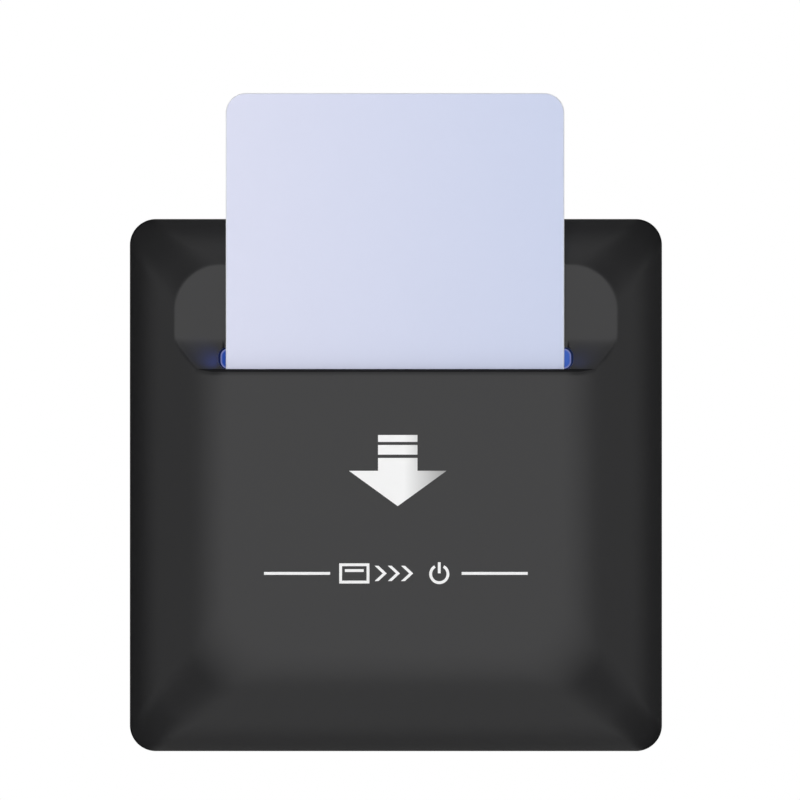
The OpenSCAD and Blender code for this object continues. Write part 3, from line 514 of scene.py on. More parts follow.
def lamp_epoxy():
    """Cast epoxy lamp lens, lit blue-white: hazy and bright, a little uneven through its depth."""
    made, tree, where = new_material("cast_epoxy_lamp")
    haze = add_node(tree, "TexNoise", {"Vector": where, "Scale": per_mm(0.8), "Detail": 2.0})
    strength = add_node(tree, "MapRange", {"Value": haze, "To Min": 0.8, "To Max": 1.6})
    glow = {"Emission Color": linear("#4f7cff"), "Emission Strength": strength}
    add_shader(tree, {"Base Color": linear("#cfd8ff"), "Roughness": 0.2, **glow})
    return made


# Face plate


class CoverForm:
    """Form of the face plate, worked out in millimetres from its settings."""

    # Grid steps of the skin's zones
    EDGE_STEP, SLOPE_STEP, BROW_STEP = 0.33, 0.5, 0.35
    CREASE_STEP, FLAT_STEP, FLOOR_STEP = 0.14, 1.3, 0.4
    # Reach of the fine lines beside the crease, width of the notch's ends, least gap between lines
    CREASE_REACH, NOTCH_END, LINE_GAP = 0.7, 0.05, 0.04
    # Points of the lip's arc and of half a window corner, and rows of points round that corner
    LIP_POINTS, WINDOW_POINTS, WINDOW_ROWS = 6, 6, 4

    def __init__(self, settings):
        for key in CoverSettings.__annotations__:
            if not key.endswith("plastic"):
                setattr(self, key, getattr(settings, key) / (1 if key.endswith("angle") else MM))
        self.half = self.plate_w / 2
        self.flat_half = self.half - self.border_w
        self.edge_run = self.edge_r * (sin(self.edge_angle) - sin(self.slope_angle))
        self.brow_run = self.brow_r * sin(self.slope_angle)
        edge_rise = self.edge_r * (cos(self.slope_angle) - cos(self.edge_angle))
        brow_rise = self.brow_r * (1 - cos(self.slope_angle))
        slope_run = self.border_w - self.edge_run - self.brow_run
        self.slope_start = self.front_h - brow_rise - slope_run * tan(self.slope_angle)
        self.rim_h = self.slope_start - edge_rise
        self.floor = self.front_h - self.recess_depth
        self.ceiling = self.front_h - self.wall
        self.behind = self.floor - self.floor_wall
        self.crease = self.edge_run + (self.floor - self.slope_start) / tan(self.slope_angle)
        self.window_top = self.lip_up + self.window_h

    def tilt(self, inset):
        """Steepness of the skin at a distance inside the outline."""
        low, high = sin(self.slope_angle), sin(self.edge_angle)
        edge = np.arcsin(np.clip(high - inset / self.edge_r, low, high))
        brow = np.arcsin(np.clip((self.border_w - inset) / self.brow_r, 0, low))
        return np.where(inset < self.edge_run, edge, brow)

    def height(self, inset):
        """Height of the skin at a distance inside the outline."""
        tilt = self.tilt(inset)
        edge = self.rim_h + self.edge_r * (np.cos(tilt) - cos(self.edge_angle))
        slope = self.slope_start + (inset - self.edge_run) * tan(self.slope_angle)
        brow = self.front_h - self.brow_r * (1 - np.cos(tilt))
        inner = np.where(inset < self.border_w - self.brow_run, slope, brow)
        return np.where(inset < self.edge_run, edge, inner)

    def corner_r(self, inset, upper):
        """Corner radius of the level line at a distance inside the outline, fading out on flat ground."""
        past_crease, floor_fade, front_fade = 1.0, 3.5, 0.65
        growth = self.platform_corner_r - self.plate_corner_r
        left = np.clip(1 - inset / self.border_w, 0, 1)
        start = np.where(upper, self.crease + past_crease, self.border_w)
        reach = np.where(upper, floor_fade, front_fade * self.platform_corner_r)
        return (self.plate_corner_r + growth * (1 - left**2)) * np.clip(1 - (inset - start) / reach, 0, 1)

    def recess(self, across, up):
        """Height of the recess's surface: a flat floor that sweeps up beside the slot and at its corners."""
        x0, y0 = self.recess_half_w - self.recess_corner_r, self.lip_up + self.recess_corner_up
        dx, dy = np.abs(across) - x0, up - y0
        run, rise = self.half - x0, self.half - y0
        beside = (dx * rise - dy * run) / hypot(run, rise)
        along = dx * run + dy * rise
        past = np.where(along < 0, np.hypot(dx, dy), beside)
        out = np.where(dx < 0, -dy, past) - self.recess_corner_r
        sweep = np.clip(self.recess_sweep - np.abs(out), 0, None) ** 2 / (4 * self.recess_sweep)
        foot = np.clip(self.lip_up + self.foot_reach - up, 0, None)
        beside_slot = np.clip((np.abs(across) - self.slot_w / 2) / self.foot_ease, 0, 1)
        turned_up = tan(self.foot_angle) * foot**2 / (foot + self.foot_bend) * beside_slot
        return self.floor + turned_up + np.maximum(out, 0) + sweep

    def skin(self, inset, across, up):
        """Height of the outer skin above the lip, where the recess cuts the border."""
        border, cut = self.height(inset), self.recess(across, up)
        round_off = np.clip(self.crease_r - np.abs(border - cut), 0, None) ** 2 / (4 * self.crease_r)
        return np.minimum(border, cut) - round_off

    def warp(self, gx, gy, inward=0.0):
        """Moves a point of a square grid onto the rounded level line that it stands for."""
        least_r, least_bend = 1e-6, 0.05
        reach = np.maximum(np.abs(gx), np.abs(gy))
        short = np.minimum(np.abs(gx), np.abs(gy))
        r = np.maximum(self.corner_r(self.half - reach, gy > 0), least_r)
        turn = np.clip((short - (reach - r)) / r, 0, 1) * pi / 4
        bend = np.maximum(r - inward, least_bend)
        far = np.where(turn > 0, reach - inward - bend + bend * np.cos(turn), reach - inward)
        near = np.where(turn > 0, reach - inward - bend + bend * np.sin(turn), short)
        wide = np.abs(gx) >= np.abs(gy)
        return np.sign(gx) * np.where(wide, far, near), np.sign(gy) * np.where(wide, near, far)

    def window_bends(self):
        """Distances from the start of a window corner at which its arc has points and the skin has lines."""
        start = self.window_w / 2 - self.window_r
        ramp = [self.slot_w / 2 - start, self.slot_w / 2 + self.foot_ease - start]
        even = self.window_r * np.tan(np.linspace(0, pi / 4, self.WINDOW_POINTS))
        return np.unique(np.round(np.clip([*even, *ramp], 0, self.window_r), LINE_DIGITS))

    def lines(self):
        """Grid lines across, up to the lip, and above the lip."""
        edge = steps(0, self.edge_run, self.EDGE_STEP)
        slope = steps(self.edge_run, self.border_w - self.brow_run, self.SLOPE_STEP)
        brow = steps(self.border_w - self.brow_run, self.border_w, self.BROW_STEP)
        border = self.half - np.concatenate([edge, slope, brow])
        fold = steps(self.crease - self.CREASE_REACH, self.crease + self.CREASE_REACH, self.CREASE_STEP)
        crease = self.half - fold
        flat = steps(0, self.flat_half, self.FLAT_STEP)
        bends = self.window_bends()
        ends = [self.slot_w / 2, *(self.window_w / 2 - self.window_r + bends)]
        notch = [self.notch_w / 2, self.notch_w / 2 + self.NOTCH_END]
        others = np.concatenate([border, crease, flat])
        side = spaced([0, self.half, *ends, *notch], others, self.LINE_GAP)
        across = np.concatenate([-side[:0:-1], side])
        below = np.concatenate([-border, -flat, flat])
        top_of_flat = self.lip_up - self.lip_r
        low = spaced([-self.half, top_of_flat], below[below < top_of_flat], self.LINE_GAP)
        fine = steps(self.lip_up, self.flat_half, self.FLOOR_STEP)
        window = [*(self.lip_up + self.window_r - bends), *(self.window_top - self.window_r + bends)]
        above = np.concatenate([fine, border, crease])
        high = spaced([self.lip_up, *window, self.half], above[above > self.lip_up], self.LINE_GAP)
        return across, low, high[1:]


def skin_rows(form, across, low, high):
    """Rows of points of the outer skin, and the numbers of the slot's row and the floor's row."""
    rows = []

    def row(gy, recessed):
        x, y = form.warp(across, np.full_like(across, gy))
        inset = form.half - np.maximum(np.abs(across), abs(gy))
        rows.append((x, y, form.skin(inset, x, y) if recessed else form.height(inset)))

    for gy in low:
        row(gy, False)
    inset = form.half - np.maximum(np.abs(across), form.lip_up)
    edge = np.full_like(across, form.lip_up)
    foot = form.skin(inset, across, edge)
    top = np.maximum(form.height(inset), foot)
    r = np.minimum(form.lip_r, top - foot)
    for a in np.linspace(0, pi / 2, form.LIP_POINTS)[1:]:
        rows.append((across, form.lip_up - r * (1 - sin(a)), top - r * (1 - cos(a))))
    rows.append((across, edge, np.clip(form.ceiling, foot, top - r)))
    rows.append((across, edge, foot))
    floor_row = len(rows) - 1
    for gy in high:
        row(gy, True)
    return rows, floor_row - 1, floor_row


def hollow_rows(form, across, low, high):
    """Rows of points of the hollow behind the skin, as many as the skin has."""
    lip_in = form.lip_up - form.wall
    # Rows closer to the lip than this are spread to end at the pocket's wall
    spread = 6
    knee = lip_in - spread
    rows = []

    def row(gy, block):
        inset = form.half - np.maximum(np.abs(across), abs(gy))
        tilt = form.tilt(inset)
        inward = form.wall * np.sin(tilt)
        if block:
            past_window = form.half - inset - form.window_w / 2
            inward = inward * np.clip(past_window / (form.half - form.crease - form.window_w / 2), 0, 1)
        x, y = form.warp(across, np.full_like(across, gy), inward)
        out = form.height(inset) - form.wall * np.cos(tilt)
        rows.append((x, y, np.minimum(out, form.behind) if block else out))

    for gy in low:
        row(gy if gy < knee else np.interp(gy, [knee, low[-1]], [knee, lip_in]), False)
    x, y, out = rows[-1]
    deep = np.minimum(out, form.behind)
    rows += [rows[-1]] * (form.LIP_POINTS - 1)
    rows.append((x, y, np.clip(form.floor, deep, out)))
    rows.append((x, y, deep))
    for gy in high:
        places = [form.lip_up, high[0], form.window_top, form.half]
        row(np.interp(gy, places, [lip_in, form.lip_up, form.window_top, form.half]), True)
    return rows


def border_loop(rows):
    """Point numbers round the edge of a grid, anticlockwise from the front."""
    right = [row[-1] for row in rows[1:]]
    left = [row[0] for row in rows[-2:0:-1]]
    return rows[0] + right + rows[-1][-2::-1] + left


def face_plate(form):
    """Shape of the face plate: skin, recess, lip, slot, window, rim, hollow, bosses and clips."""
    shape = Shape()
    across, low, high = form.lines()
    rows, slot_row, floor_row = skin_rows(form, across, low, high)
    skin = [shape.add(zip(*row)) for row in rows]
    hollow = [shape.add(zip(*row)) for row in hollow_rows(form, across, low, high)]
    window_end = floor_row + 1 + int(np.argmin(np.abs(high - form.window_top)))
    slack = 1e-4

    def within(c, width):
        return max(abs(across[c]), abs(across[c + 1])) < width / 2 + slack

    def opening(r, c, slot_at, window_from):
        slot = r == slot_at and within(c, form.slot_w)
        return slot or (window_from <= r < window_end and within(c, form.window_w))

    shape.sheet(skin, lambda r, c: opening(r, c, slot_row, floor_row))
    shape.sheet(hollow, lambda r, c: opening(r, c, slot_row - 1, floor_row + 1), flip=True)
    rim_loops(form, shape, border_loop(skin), border_loop(hollow))
    slot_walls(form, shape)
    window_walls(form, shape)
    shape.join()
    screw_bosses(shape)
    snap_clips(form, shape)
    return shape


def rim_loops(form, shape, outer, inner):
    """Side of the rim, its narrow foot on the wall with the notch, and the way into the hollow."""
    slack = 0.01
    rings = [outer]
    levels = ((0.0, form.rim_ease), (form.rim_ease, 0.0), (form.wall * sin(form.edge_angle), 0.0))
    for inward, lift in levels:
        points = []
        for number in outer:
            x, y, _ = shape.points[number]
            notch = y < 0 and abs(x) < form.notch_w / 2 + slack
            scale = 1 - inward / max(abs(x), abs(y))
            points.append((x * scale, y * scale, lift + (form.notch_h if notch else 0.0)))
        rings.append(shape.add(points))
    rings.append(inner)
    for front, back in zip(rings, rings[1:]):
        shape.strip(front, back)


def slot_walls(form, shape):
    """Ceiling, floor and ends of the card slot through the lip."""
    x, outs = form.slot_w / 2, (form.floor, form.ceiling)
    section = [(-x, outs[0]), (x, outs[0]), (x, outs[1]), (-x, outs[1])]
    ups = (form.lip_up, form.lip_up - form.wall)
    mouth, end = [shape.add((across, up, out) for across, out in section) for up in ups]
    shape.strip(mouth, end)


def window_walls(form, shape):
    """Round corners and walls of the light bar's window in the recess floor."""
    r = form.window_r
    half_turns = np.arctan(form.window_bends() / r)
    turns = np.array([*half_turns, *(pi / 2 - half_turns[-2::-1])])
    top, foot = [], []
    for quarter, (sx, sy) in enumerate(QUARTERS):
        dx, dy = np.cos(turns + quarter * pi / 2), np.sin(turns + quarter * pi / 2)
        to_square = 1 / np.maximum(np.abs(dx), np.abs(dy))
        front, back = [], []
        for share in np.linspace(0, 1, form.WINDOW_ROWS):
            reach = r * (1 + share * (to_square - 1))
            x = sx * (form.window_w / 2 - r) + reach * dx
            y = form.lip_up + form.window_h / 2 + sy * (form.window_h / 2 - r) + reach * dy
            front.append(shape.add(zip(x, y, form.recess(x, y))))
            back.append(shape.add(zip(x, y, np.full_like(x, form.behind))))
        for inner, outer in zip(front, front[1:]):
            shape.strip(inner, outer, closed=False)
        shape.strip(back[-1], back[0], closed=False)
        top += front[0]
        foot += back[0]
    shape.strip(foot, top)


def screw_bosses(shape):
    """Bosses behind the plate, at the places of the construction's guide screws."""
    low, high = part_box("guide_screws")
    head_r, boss_r, pilot_r, head_and_ear = 1.9, 1.9, 0.95, 2.8
    foot, top = -high.y / MM + head_and_ear, -low.y / MM
    boss_x = high.x / MM - head_r
    turns = np.linspace(0, 2 * pi, 33)[:-1]
    levels = ((boss_r, top), (boss_r, foot), (pilot_r, foot), (pilot_r, top))
    for x in (-boss_x, boss_x):
        for y in (low.z / MM + head_r, high.z / MM - head_r):
            rings = [[(x + r * cos(a), y + r * sin(a), out) for a in turns] for r, out in levels]
            shape.stack(rings)


def snap_clips(form, shape):
    """Clips behind the plate, whose noses catch the edge of the mounting frame."""
    clip_x, half_w, thick, fit = 22.0, 2.7, 1.4, 0.25
    foot, nose_foot, nose_top, nose, nose_tip = 3.4, 4.75, 6.35, 0.8, 0.1
    catch_top = node_low("mounting_frame")[2] + node_size("mounting_frame")[2]
    skin_rise = catch_top + fit + form.wall / cos(form.slope_angle) - form.slope_start
    face = form.half - form.edge_run - skin_rise / tan(form.slope_angle) + fit
    root = float(form.height(form.half - face - thick)) - form.wall / 2
    profile = [(0, foot), (thick, foot), (thick, root), (0, root)]
    profile += [(0, nose_top), (-nose, nose_top), (-nose_tip, nose_foot), (0, nose_foot)]
    for x in (-clip_x, clip_x):
        for side in (-1, 1):
            ends = (x + side * half_w, x - side * half_w)
            shape.stack([[(end, side * (face + d), out) for d, out in profile] for end in ends])


class KEYSWITCH_OT_face_plate(bpy.types.Operator):
    """Moulds the face plate with its recess, lip and slot"""

    bl_idname = "keyswitch.face_plate"
    bl_label = "Face plate"

    def execute(self, context):
        settings = context.scene.keyswitch_cover
        form = CoverForm(settings)
        mesh = face_plate(form).mesh("face_plate")
        grain = {"grain": 0.22, "depth": 0.0025, "mottle": 0.03}
        # Moulded ABS with a spark-eroded satin: an even charcoal with soft, broken highlights
        plastic = moulded_plastic("moulded_abs_satin_charcoal", tuple(settings.plastic), 0.32, **grain)
        place("face_plate", mesh, plastic, stands_for="front_cover")
        # The lip's rounded edge at the slot's mouth gets a darker, matt plastic: a painted shadow line
        # beside the card
        black = tuple(settings.lip_shadow_plastic)
        mesh.materials.append(moulded_plastic("painted_lip_shadow_abs", black, 0.8, **grain, sheen=0.1))
        # Faces of the lip's rounding that turn up get the painted shadow plastic
        slack, facing_up = 0.01, 0.5
        for face in mesh.polygons:
            below_lip = form.lip_up - face.center.z / MM
            at_lip = -slack < below_lip < form.lip_r and -face.center.y / MM > form.floor
            face.material_index = int(at_lip and face.normal.z > facing_up)
        return {"FINISHED"}


# Card, light bar and print


class KEYSWITCH_OT_room_card(bpy.types.Operator):
    """Lays up the plain room card"""

    bl_idname = "keyswitch.room_card"
    bl_label = "Room card"

    def execute(self, context):
        settings = context.scene.keyswitch_face
        low = node_low("key_card")
        w, h, thick = CARD
        r, edge = settings.card_r / MM, settings.card_edge / MM
        middle = (settings.card_across / MM, low[1] + h / 2)
        shape = Shape()
        round_slab(shape, w, h, r, low[2], low[2] + thick, edge, middle, edge, arc=12)
        mesh = shape.mesh("room_card", sharp=60)
        place("room_card", mesh, laminated_card(settings), "card", "key_card")
        return {"FINISHED"}


class KEYSWITCH_OT_light_bar(bpy.types.Operator):
    """Moulds the lit bar with its flange and stems, and sets its spill of blue light"""

    bl_idname = "keyswitch.light_bar"
    bl_label = "Light bar"

    def execute(self, context):
        settings = context.scene.keyswitch_face
        behind = CoverForm(context.scene.keyswitch_cover).behind
        low, size = node_low("light_guide"), node_size("light_guide")
        flange_edge, flange_t, flange_round = 1.2, 1.0, 0.15
        stem_x, stem_w, stem_round, overlap = 20.0, 5.0, 0.1, 0.1
        w, h, r = settings.light_w / MM, size[1] - 2 * flange_edge, settings.light_r / MM
        up, front, foot = low[1] + size[1] / 2, low[2] + size[2], behind - flange_t
        shape = Shape()
        round_slab(shape, w, h, r, behind - overlap, front, settings.light_edge / MM, (0.0, up))
        round_slab(shape, size[0], size[1], r + flange_edge, foot, behind, flange_round, (0.0, up))
        for x in (-stem_x, stem_x):
            round_slab(shape, stem_w, h, r / 2, low[2], foot + overlap, stem_round, (x, up))
        mesh = shape.mesh("light_bar", sharp=60)
        place("light_bar", mesh, lit_acrylic(settings), stands_for="light_guide")
        for side, power in ((-1, settings.spill_left), (1, settings.spill_right)):
            add_spill(context.scene, side, power, (side * w / 2, up, front))
        return {"FINISHED"}


def add_spill(scene, side, power, end):
    """Small lamp before one end of the bar, for the blue light on the recess floor beside it."""
    past_end, rise, lean, cone = 0.2, 4.0, 2.0, 80
    lamp = bpy.data.lights.new("bar_spill", "SPOT")
    lamp.color = (0.05, 0.15, 1.0)
    lamp.energy = power
    lamp.spot_size = radians(cone)
    lamp.spot_blend = 1.0
    lamp.shadow_soft_size = 0.6 * MM
    across, up, out = end
    stood = ((across + side * past_end) * MM, -(out + rise) * MM, up * MM)
    put_lamp(scene, lamp, stood, (-side * lean, -rise, 0.0))


def put_lamp(scene, lamp, stood, back):
    """Stands a lamp in the scene with its back turned along a direction, unseen by the gloss."""
    holder = bpy.data.objects.new(lamp.name, lamp)
    holder.location = stood
    holder.rotation_euler = Vector(back).to_track_quat("Z", "Y").to_euler()
    holder.visible_glossy = False
    scene.collection.objects.link(holder)


# Places and sizes of the print on the front, in millimetres
ARROW_ACROSS = 0.3
ARROW_HEAD_W = 15.48
ARROW_SHAFT_W = 6.26
ARROW_BARS = ((8.19, 7.09), (6.60, 5.07))
ARROW_SHAFT = (4.54, 2.50)
ARROW_TIP = -3.11
SIGN_UP = -13.8
SIGN_H = 3.2
SIGN_LINE = 0.45
RULE_ACROSS, RULE_W = 15.7, 10.5
CARD_SIGN_ACROSS, CARD_SIGN_W = -6.6, 4.8
# A chevron's rise and the power sign's bar are shares of the signs' height, a slant of the line's width
CHEVRON_W, CHEVRON_PITCH, CHEVRON_RISE, CHEVRON_SLANT = 1.3, 2.1, 0.38, 1.4
POWER_ACROSS, POWER_DROP, POWER_BAR, POWER_BAR_UP = 6.9, 0.1, 0.55, 0.28
# The power sign's ring is open at the top, between these angles in degrees
POWER_RING = (120, 420)
PRINT_T, PRINT_SUNK = 0.03, 0.01


def bar_outline(w, h, middle):
    """Outline of a plain bar."""
    return [(middle[0] + sx * w / 2, middle[1] + sy * h / 2) for sx, sy in QUARTERS]


def ring_outline(radius, line, start, end, middle, count=36):
    """Outline of an open ring of a line's width between two angles in degrees."""
    turns = np.radians(np.linspace(start, end, count))
    way = [(radius, a) for a in turns] + [(radius - line, a) for a in turns[::-1]]
    return [(middle[0] + r * cos(a), middle[1] + r * sin(a)) for r, a in way]


def arrow_outlines():
    """Outlines of the two bars and of the arrow's shaft and head."""
    for top, foot in ARROW_BARS:
        yield bar_outline(ARROW_SHAFT_W, top - foot, (ARROW_ACROSS, (top + foot) / 2))
    top, neck = ARROW_SHAFT
    half, wing = ARROW_SHAFT_W / 2, ARROW_HEAD_W / 2
    points = [(half, top), (-half, top), (-half, neck), (-wing, neck), (0, ARROW_TIP)]
    points += [(wing, neck), (half, neck)]
    yield [(ARROW_ACROSS + x, y) for x, y in points]


def sign_outlines():
    """Outlines of the sign row: two rules, a card, three chevrons and a power sign."""
    line = SIGN_LINE
    for side in (-1, 1):
        yield bar_outline(RULE_W, line, (side * RULE_ACROSS, SIGN_UP))
        yield bar_outline(CARD_SIGN_W, line, (CARD_SIGN_ACROSS, SIGN_UP + side * (SIGN_H - line) / 2))
        upright = CARD_SIGN_ACROSS + side * (CARD_SIGN_W - line) / 2
        yield bar_outline(line, SIGN_H - 2 * line, (upright, SIGN_UP))
    yield bar_outline(CARD_SIGN_W - 4 * line, line, (CARD_SIGN_ACROSS, SIGN_UP + line))
    high, slant, tip = CHEVRON_RISE * SIGN_H, CHEVRON_SLANT * line, CHEVRON_W
    chevron = [(0, high), (-slant, high), (tip - slant, 0), (-slant, -high), (0, -high), (tip, 0)]
    for k in (-1, 0, 1):
        yield [(k * CHEVRON_PITCH - tip / 2 + dx, SIGN_UP + dy) for dx, dy in chevron]
    yield ring_outline(SIGN_H / 2, line, *POWER_RING, (POWER_ACROSS, SIGN_UP - POWER_DROP))
    yield bar_outline(line, SIGN_H * POWER_BAR, (POWER_ACROSS, SIGN_UP + SIGN_H * POWER_BAR_UP))


class KEYSWITCH_OT_signs(bpy.types.Operator):
    """Stamps the arrow and a row of plain signs on the front"""

    bl_idname = "keyswitch.signs"
    bl_label = "Printed signs"

    def execute(self, context):
        face = context.scene.keyswitch_cover.front_h / MM
        foil = stamped_foil(context.scene.keyswitch_face, ARROW_HEAD_W / 2)
        signs = (("arrow_sign", arrow_outlines(), foil), ("sign_row", sign_outlines(), printed_ink()))
        for name, outlines, material in signs:
            shape = Shape()
            for outline in outlines:
                outs = (face + PRINT_T, face - PRINT_SUNK)
                shape.stack([[(x, y, out) for x, y in outline] for out in outs])
            place(name, shape.mesh(name), material)
        return {"FINISHED"}


# Mechanism and electronics


class KEYSWITCH_OT_return_spring(bpy.types.Operator):
    """Winds the return spring, which stretches between the guide and the shoe"""

    bl_idname = "keyswitch.return_spring"
    bl_label = "Return spring"

    def execute(self, context):
        low, size = node_low("shoe_spring"), node_size("shoe_spring")
        wire, turns, sides, per_turn = 0.45, 6, 10, 24
        radius = size[0] / 2 - wire / 2
        out = low[2] + size[2] / 2
        rings = []
        for k in range(turns * per_turn, -1, -1):
            a = 2 * pi * k / per_turn
            up = low[1] + wire / 2 + (size[1] - wire) * k / (turns * per_turn)
            ring = []
            for i in range(sides):
                b = 2 * pi * i / sides
                r = radius + wire / 2 * cos(b)
                ring.append((r * cos(a), up + wire / 2 * sin(b), out + r * sin(a)))
            rings.append(ring)
        shape = Shape()
        shape.stack(rings)
        mesh = shape.mesh("return_spring", sharp=60)
        # Hard-drawn spring wire: bright, with faint die lines along it
        steel = finished_metal("drawn_spring_wire", linear("#c9cacc"), 0.25, 0.12, (1, 1, 4), 0.001)
        spring = place("return_spring", mesh, steel, None, "shoe_spring")
        foot, head = (0, -out * MM, low[1] * MM), (0, -out * MM, (low[1] + size[1]) * MM)
        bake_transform(spring)
        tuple(foot)
        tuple(head)
        return {"FINISHED"}


def dress(names, material, ease=0.0):
    """Gives construction nodes a finish, and rounds their sharp edges by an ease in millimetres."""
    same_place, flat_angle, sharp_angle = 0.001 * MM, radians(0.3), radians(35)
    for name in names:
        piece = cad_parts[name]
        piece.data.materials.clear()
        piece.data.materials.append(material)
        if not ease:
            continue
        if "custom_normal" in piece.data.attributes:
            piece.data.attributes.remove(piece.data.attributes["custom_normal"])
        piece.modifiers.new("join", "WELD").merge_threshold = same_place
        flats = piece.modifiers.new("flats", "DECIMATE")
        flats.decimate_type = "DISSOLVE"
        flats.angle_limit = flat_angle
        rounding = piece.modifiers.new("edges", "BEVEL")
        rounding.width = ease * MM
        rounding.segments = 2
        rounding.limit_method = "ANGLE"
        rounding.angle_limit = sharp_angle
        rounding.use_clamp_overlap = False
        smooth = piece.modifiers.new("normals", "WEIGHTED_NORMAL")
        smooth.keep_sharp = True
        piece.data.shade_smooth()


ABS_PIECES = ["mounting_frame", "card_guide", "terminal_carrier"]
PBT_PIECES = ["microswitch_case", "board_header", "timer_chip"]
# Plastics: material, colour, roughness, grain and its depth in millimetres, mottle, edge, pieces
INNER_PLASTICS = (
    # Moulded polycarbonate with a coarse spark-eroded grain: dull dark grey
    ("moulded_pc_spark_grain", "#3a3a3d", 0.55, 0.45, 0.012, 0.06, 0.3, ["rear_housing"]),
    # Moulded ABS straight from a polished tool: black with a soft sheen
    ("moulded_abs_black", "#29292b", 0.42, 0.3, 0.004, 0.06, 0.2, ABS_PIECES),
    # Moulded acetal: waxy mid grey
    ("moulded_acetal_grey", "#8f9398", 0.35, 0.5, 0.003, 0.05, 0.15, ["card_shoe"]),
    # Moulded PBT: hard and fairly glossy
    ("moulded_pbt_black", "#1b1b1d", 0.28, 0.4, 0.002, 0.08, 0.0, PBT_PIECES),
    # The same in red, for the button
    ("moulded_pbt_red", "#b3281d", 0.3, 0.4, 0.002, 0.05, 0.0, ["switch_plunger"]),
)
COMPONENT_PLASTICS = (
    # Moulded relay case: glossy blue
    ("moulded_pbt_blue", "#1c4f9e", 0.25, 0.6, 0.002, 0.05, 0.0, ["relay"]),
    # Potted box of the film capacitor: glossy ochre
    ("potted_box_ochre", "#cba02a", 0.25, 0.6, 0.002, 0.05, 0.0, ["film_capacitor"]),
    # Shrunk sleeve over the can: thin, glossy and slightly rippled
    ("shrunk_sleeve_navy", "#28344d", 0.22, 1.5, 0.01, 0.05, 0.0, ["smoothing_capacitor"]),
    # Dipped epoxy coat: glossy with an uneven skin
    ("dipped_epoxy_blue", "#2f5fb8", 0.24, 1.2, 0.02, 0.08, 0.0, ["varistor"]),
)
SCREWS = ["guide_screws", "board_screws", "frame_screws", "main_board_screws", "terminal_screws"]
ZINC_PIECES = [*SCREWS, "lever_pin"]
STRIP_PIECES = ["grip_springs", "switch_lever"]
BRASS_PIECES = ["terminal_pillars", "switch_terminals"]
# Metals: material, colour, roughness, grain in millimetres, its stretch, its depth, stain, pieces
METALS = (
    # Zinc-plated steel: bright grey with a faint blue passivation stain
    ("zinc_plated_steel", "#c4c6c9", 0.34, 0.25, (1, 1, 1), 0.004, "#aab2bd", ZINC_PIECES),
    # Rolled spring steel strip: lines along the strip
    ("rolled_spring_steel", "#cfd0d2", 0.28, 0.15, (6, 1, 1), 0.002, None, STRIP_PIECES),
    # Turned and milled brass: warm, with cutter lines across
    ("milled_brass", "#cfa85a", 0.3, 0.2, (1, 1, 5), 0.004, "#b98d42", BRASS_PIECES),
)


def dress_plastics(finishes):
    """Gives plastic pieces their finishes."""
    for name, code, roughness, grain, depth, mottle, edge, pieces in finishes:
        dress(pieces, moulded_plastic(name, linear(code), roughness, grain, depth, mottle), edge)


class KEYSWITCH_OT_mouldings(bpy.types.Operator):
    """Finishes the plastic mouldings behind the face plate"""

    bl_idname = "keyswitch.mouldings"
    bl_label = "Inner and rear mouldings"

    def execute(self, context):
        dress_plastics(INNER_PLASTICS)
        return {"FINISHED"}


class KEYSWITCH_OT_metalwork(bpy.types.Operator):
    """Finishes screws, springs, pins and terminals"""

    bl_idname = "keyswitch.metalwork"
    bl_label = "Metalwork"

    def execute(self, context):
        for name, code, roughness, grain, stretch, depth, stain, pieces in METALS:
            stain_tint = stain and linear(stain)
            dress(pieces, finished_metal(name, linear(code), roughness, grain, stretch, depth, stain_tint))
        return {"FINISHED"}


class KEYSWITCH_OT_electronics(bpy.types.Operator):
    """Finishes the boards and the parts on them"""

    bl_idname = "keyswitch.electronics"
    bl_label = "Boards and components"

    def execute(self, context):
        dress(["sensor_board", "main_board"], solder_mask())
        dress(["indicator_lamps"], lamp_epoxy())
        dress_plastics(COMPONENT_PLASTICS)
        return {"FINISHED"}


# Stage


class KEYSWITCH_OT_stage(bpy.types.Operator):
    """Sets the camera, the lamps, the white surround and the pale floor"""

    bl_idname = "keyswitch.stage"
    bl_label = "Stage"

    def execute(self, context):
        settings = context.scene.keyswitch_stage
        scene = context.scene
        scene.view_settings.view_transform = "Standard"
        add_camera(scene, settings)
        add_lamps(scene, settings)
        add_world(scene, settings)
        add_floor(scene, settings)
        return {"FINISHED"}


def add_camera(scene, settings):
    """Camera square to the face, a little above the middle of the plate."""
    camera = bpy.data.cameras.new("camera")
    camera.sensor_width = 36
    camera.lens = settings.lens
    camera.clip_start = 0.01
    holder = bpy.data.objects.new("camera", camera)
    holder.location = (settings.camera_across, -settings.camera_reach, settings.camera_up)
    holder.rotation_euler = (radians(90), 0, 0)
    scene.collection.objects.link(holder)
    scene.camera = holder


def add_lamps(scene, settings):
    """A wide soft lamp by the camera and one behind; the gloss comes from the surround."""
    for name, stood in (("key_softbox", (-0.1, -0.9, 0.1)), ("rear_softbox", (0.2, 0.9, 0.3))):
        lamp = bpy.data.lights.new(name, "AREA")
        lamp.shape = "SQUARE"
        lamp.size = 0.5
        lamp.energy = settings.key_power
        put_lamp(scene, lamp, stood, stood)


def seen_ray(tree):
    """Node that gives 1 on camera and transmission rays, which see the white ground."""
    path = add_node(tree, "LightPath").outputs
    rays = {0: path["Is Camera Ray"], 1: path["Is Transmission Ray"]}
    return add_node(tree, "Math", rays, operation="MAXIMUM")


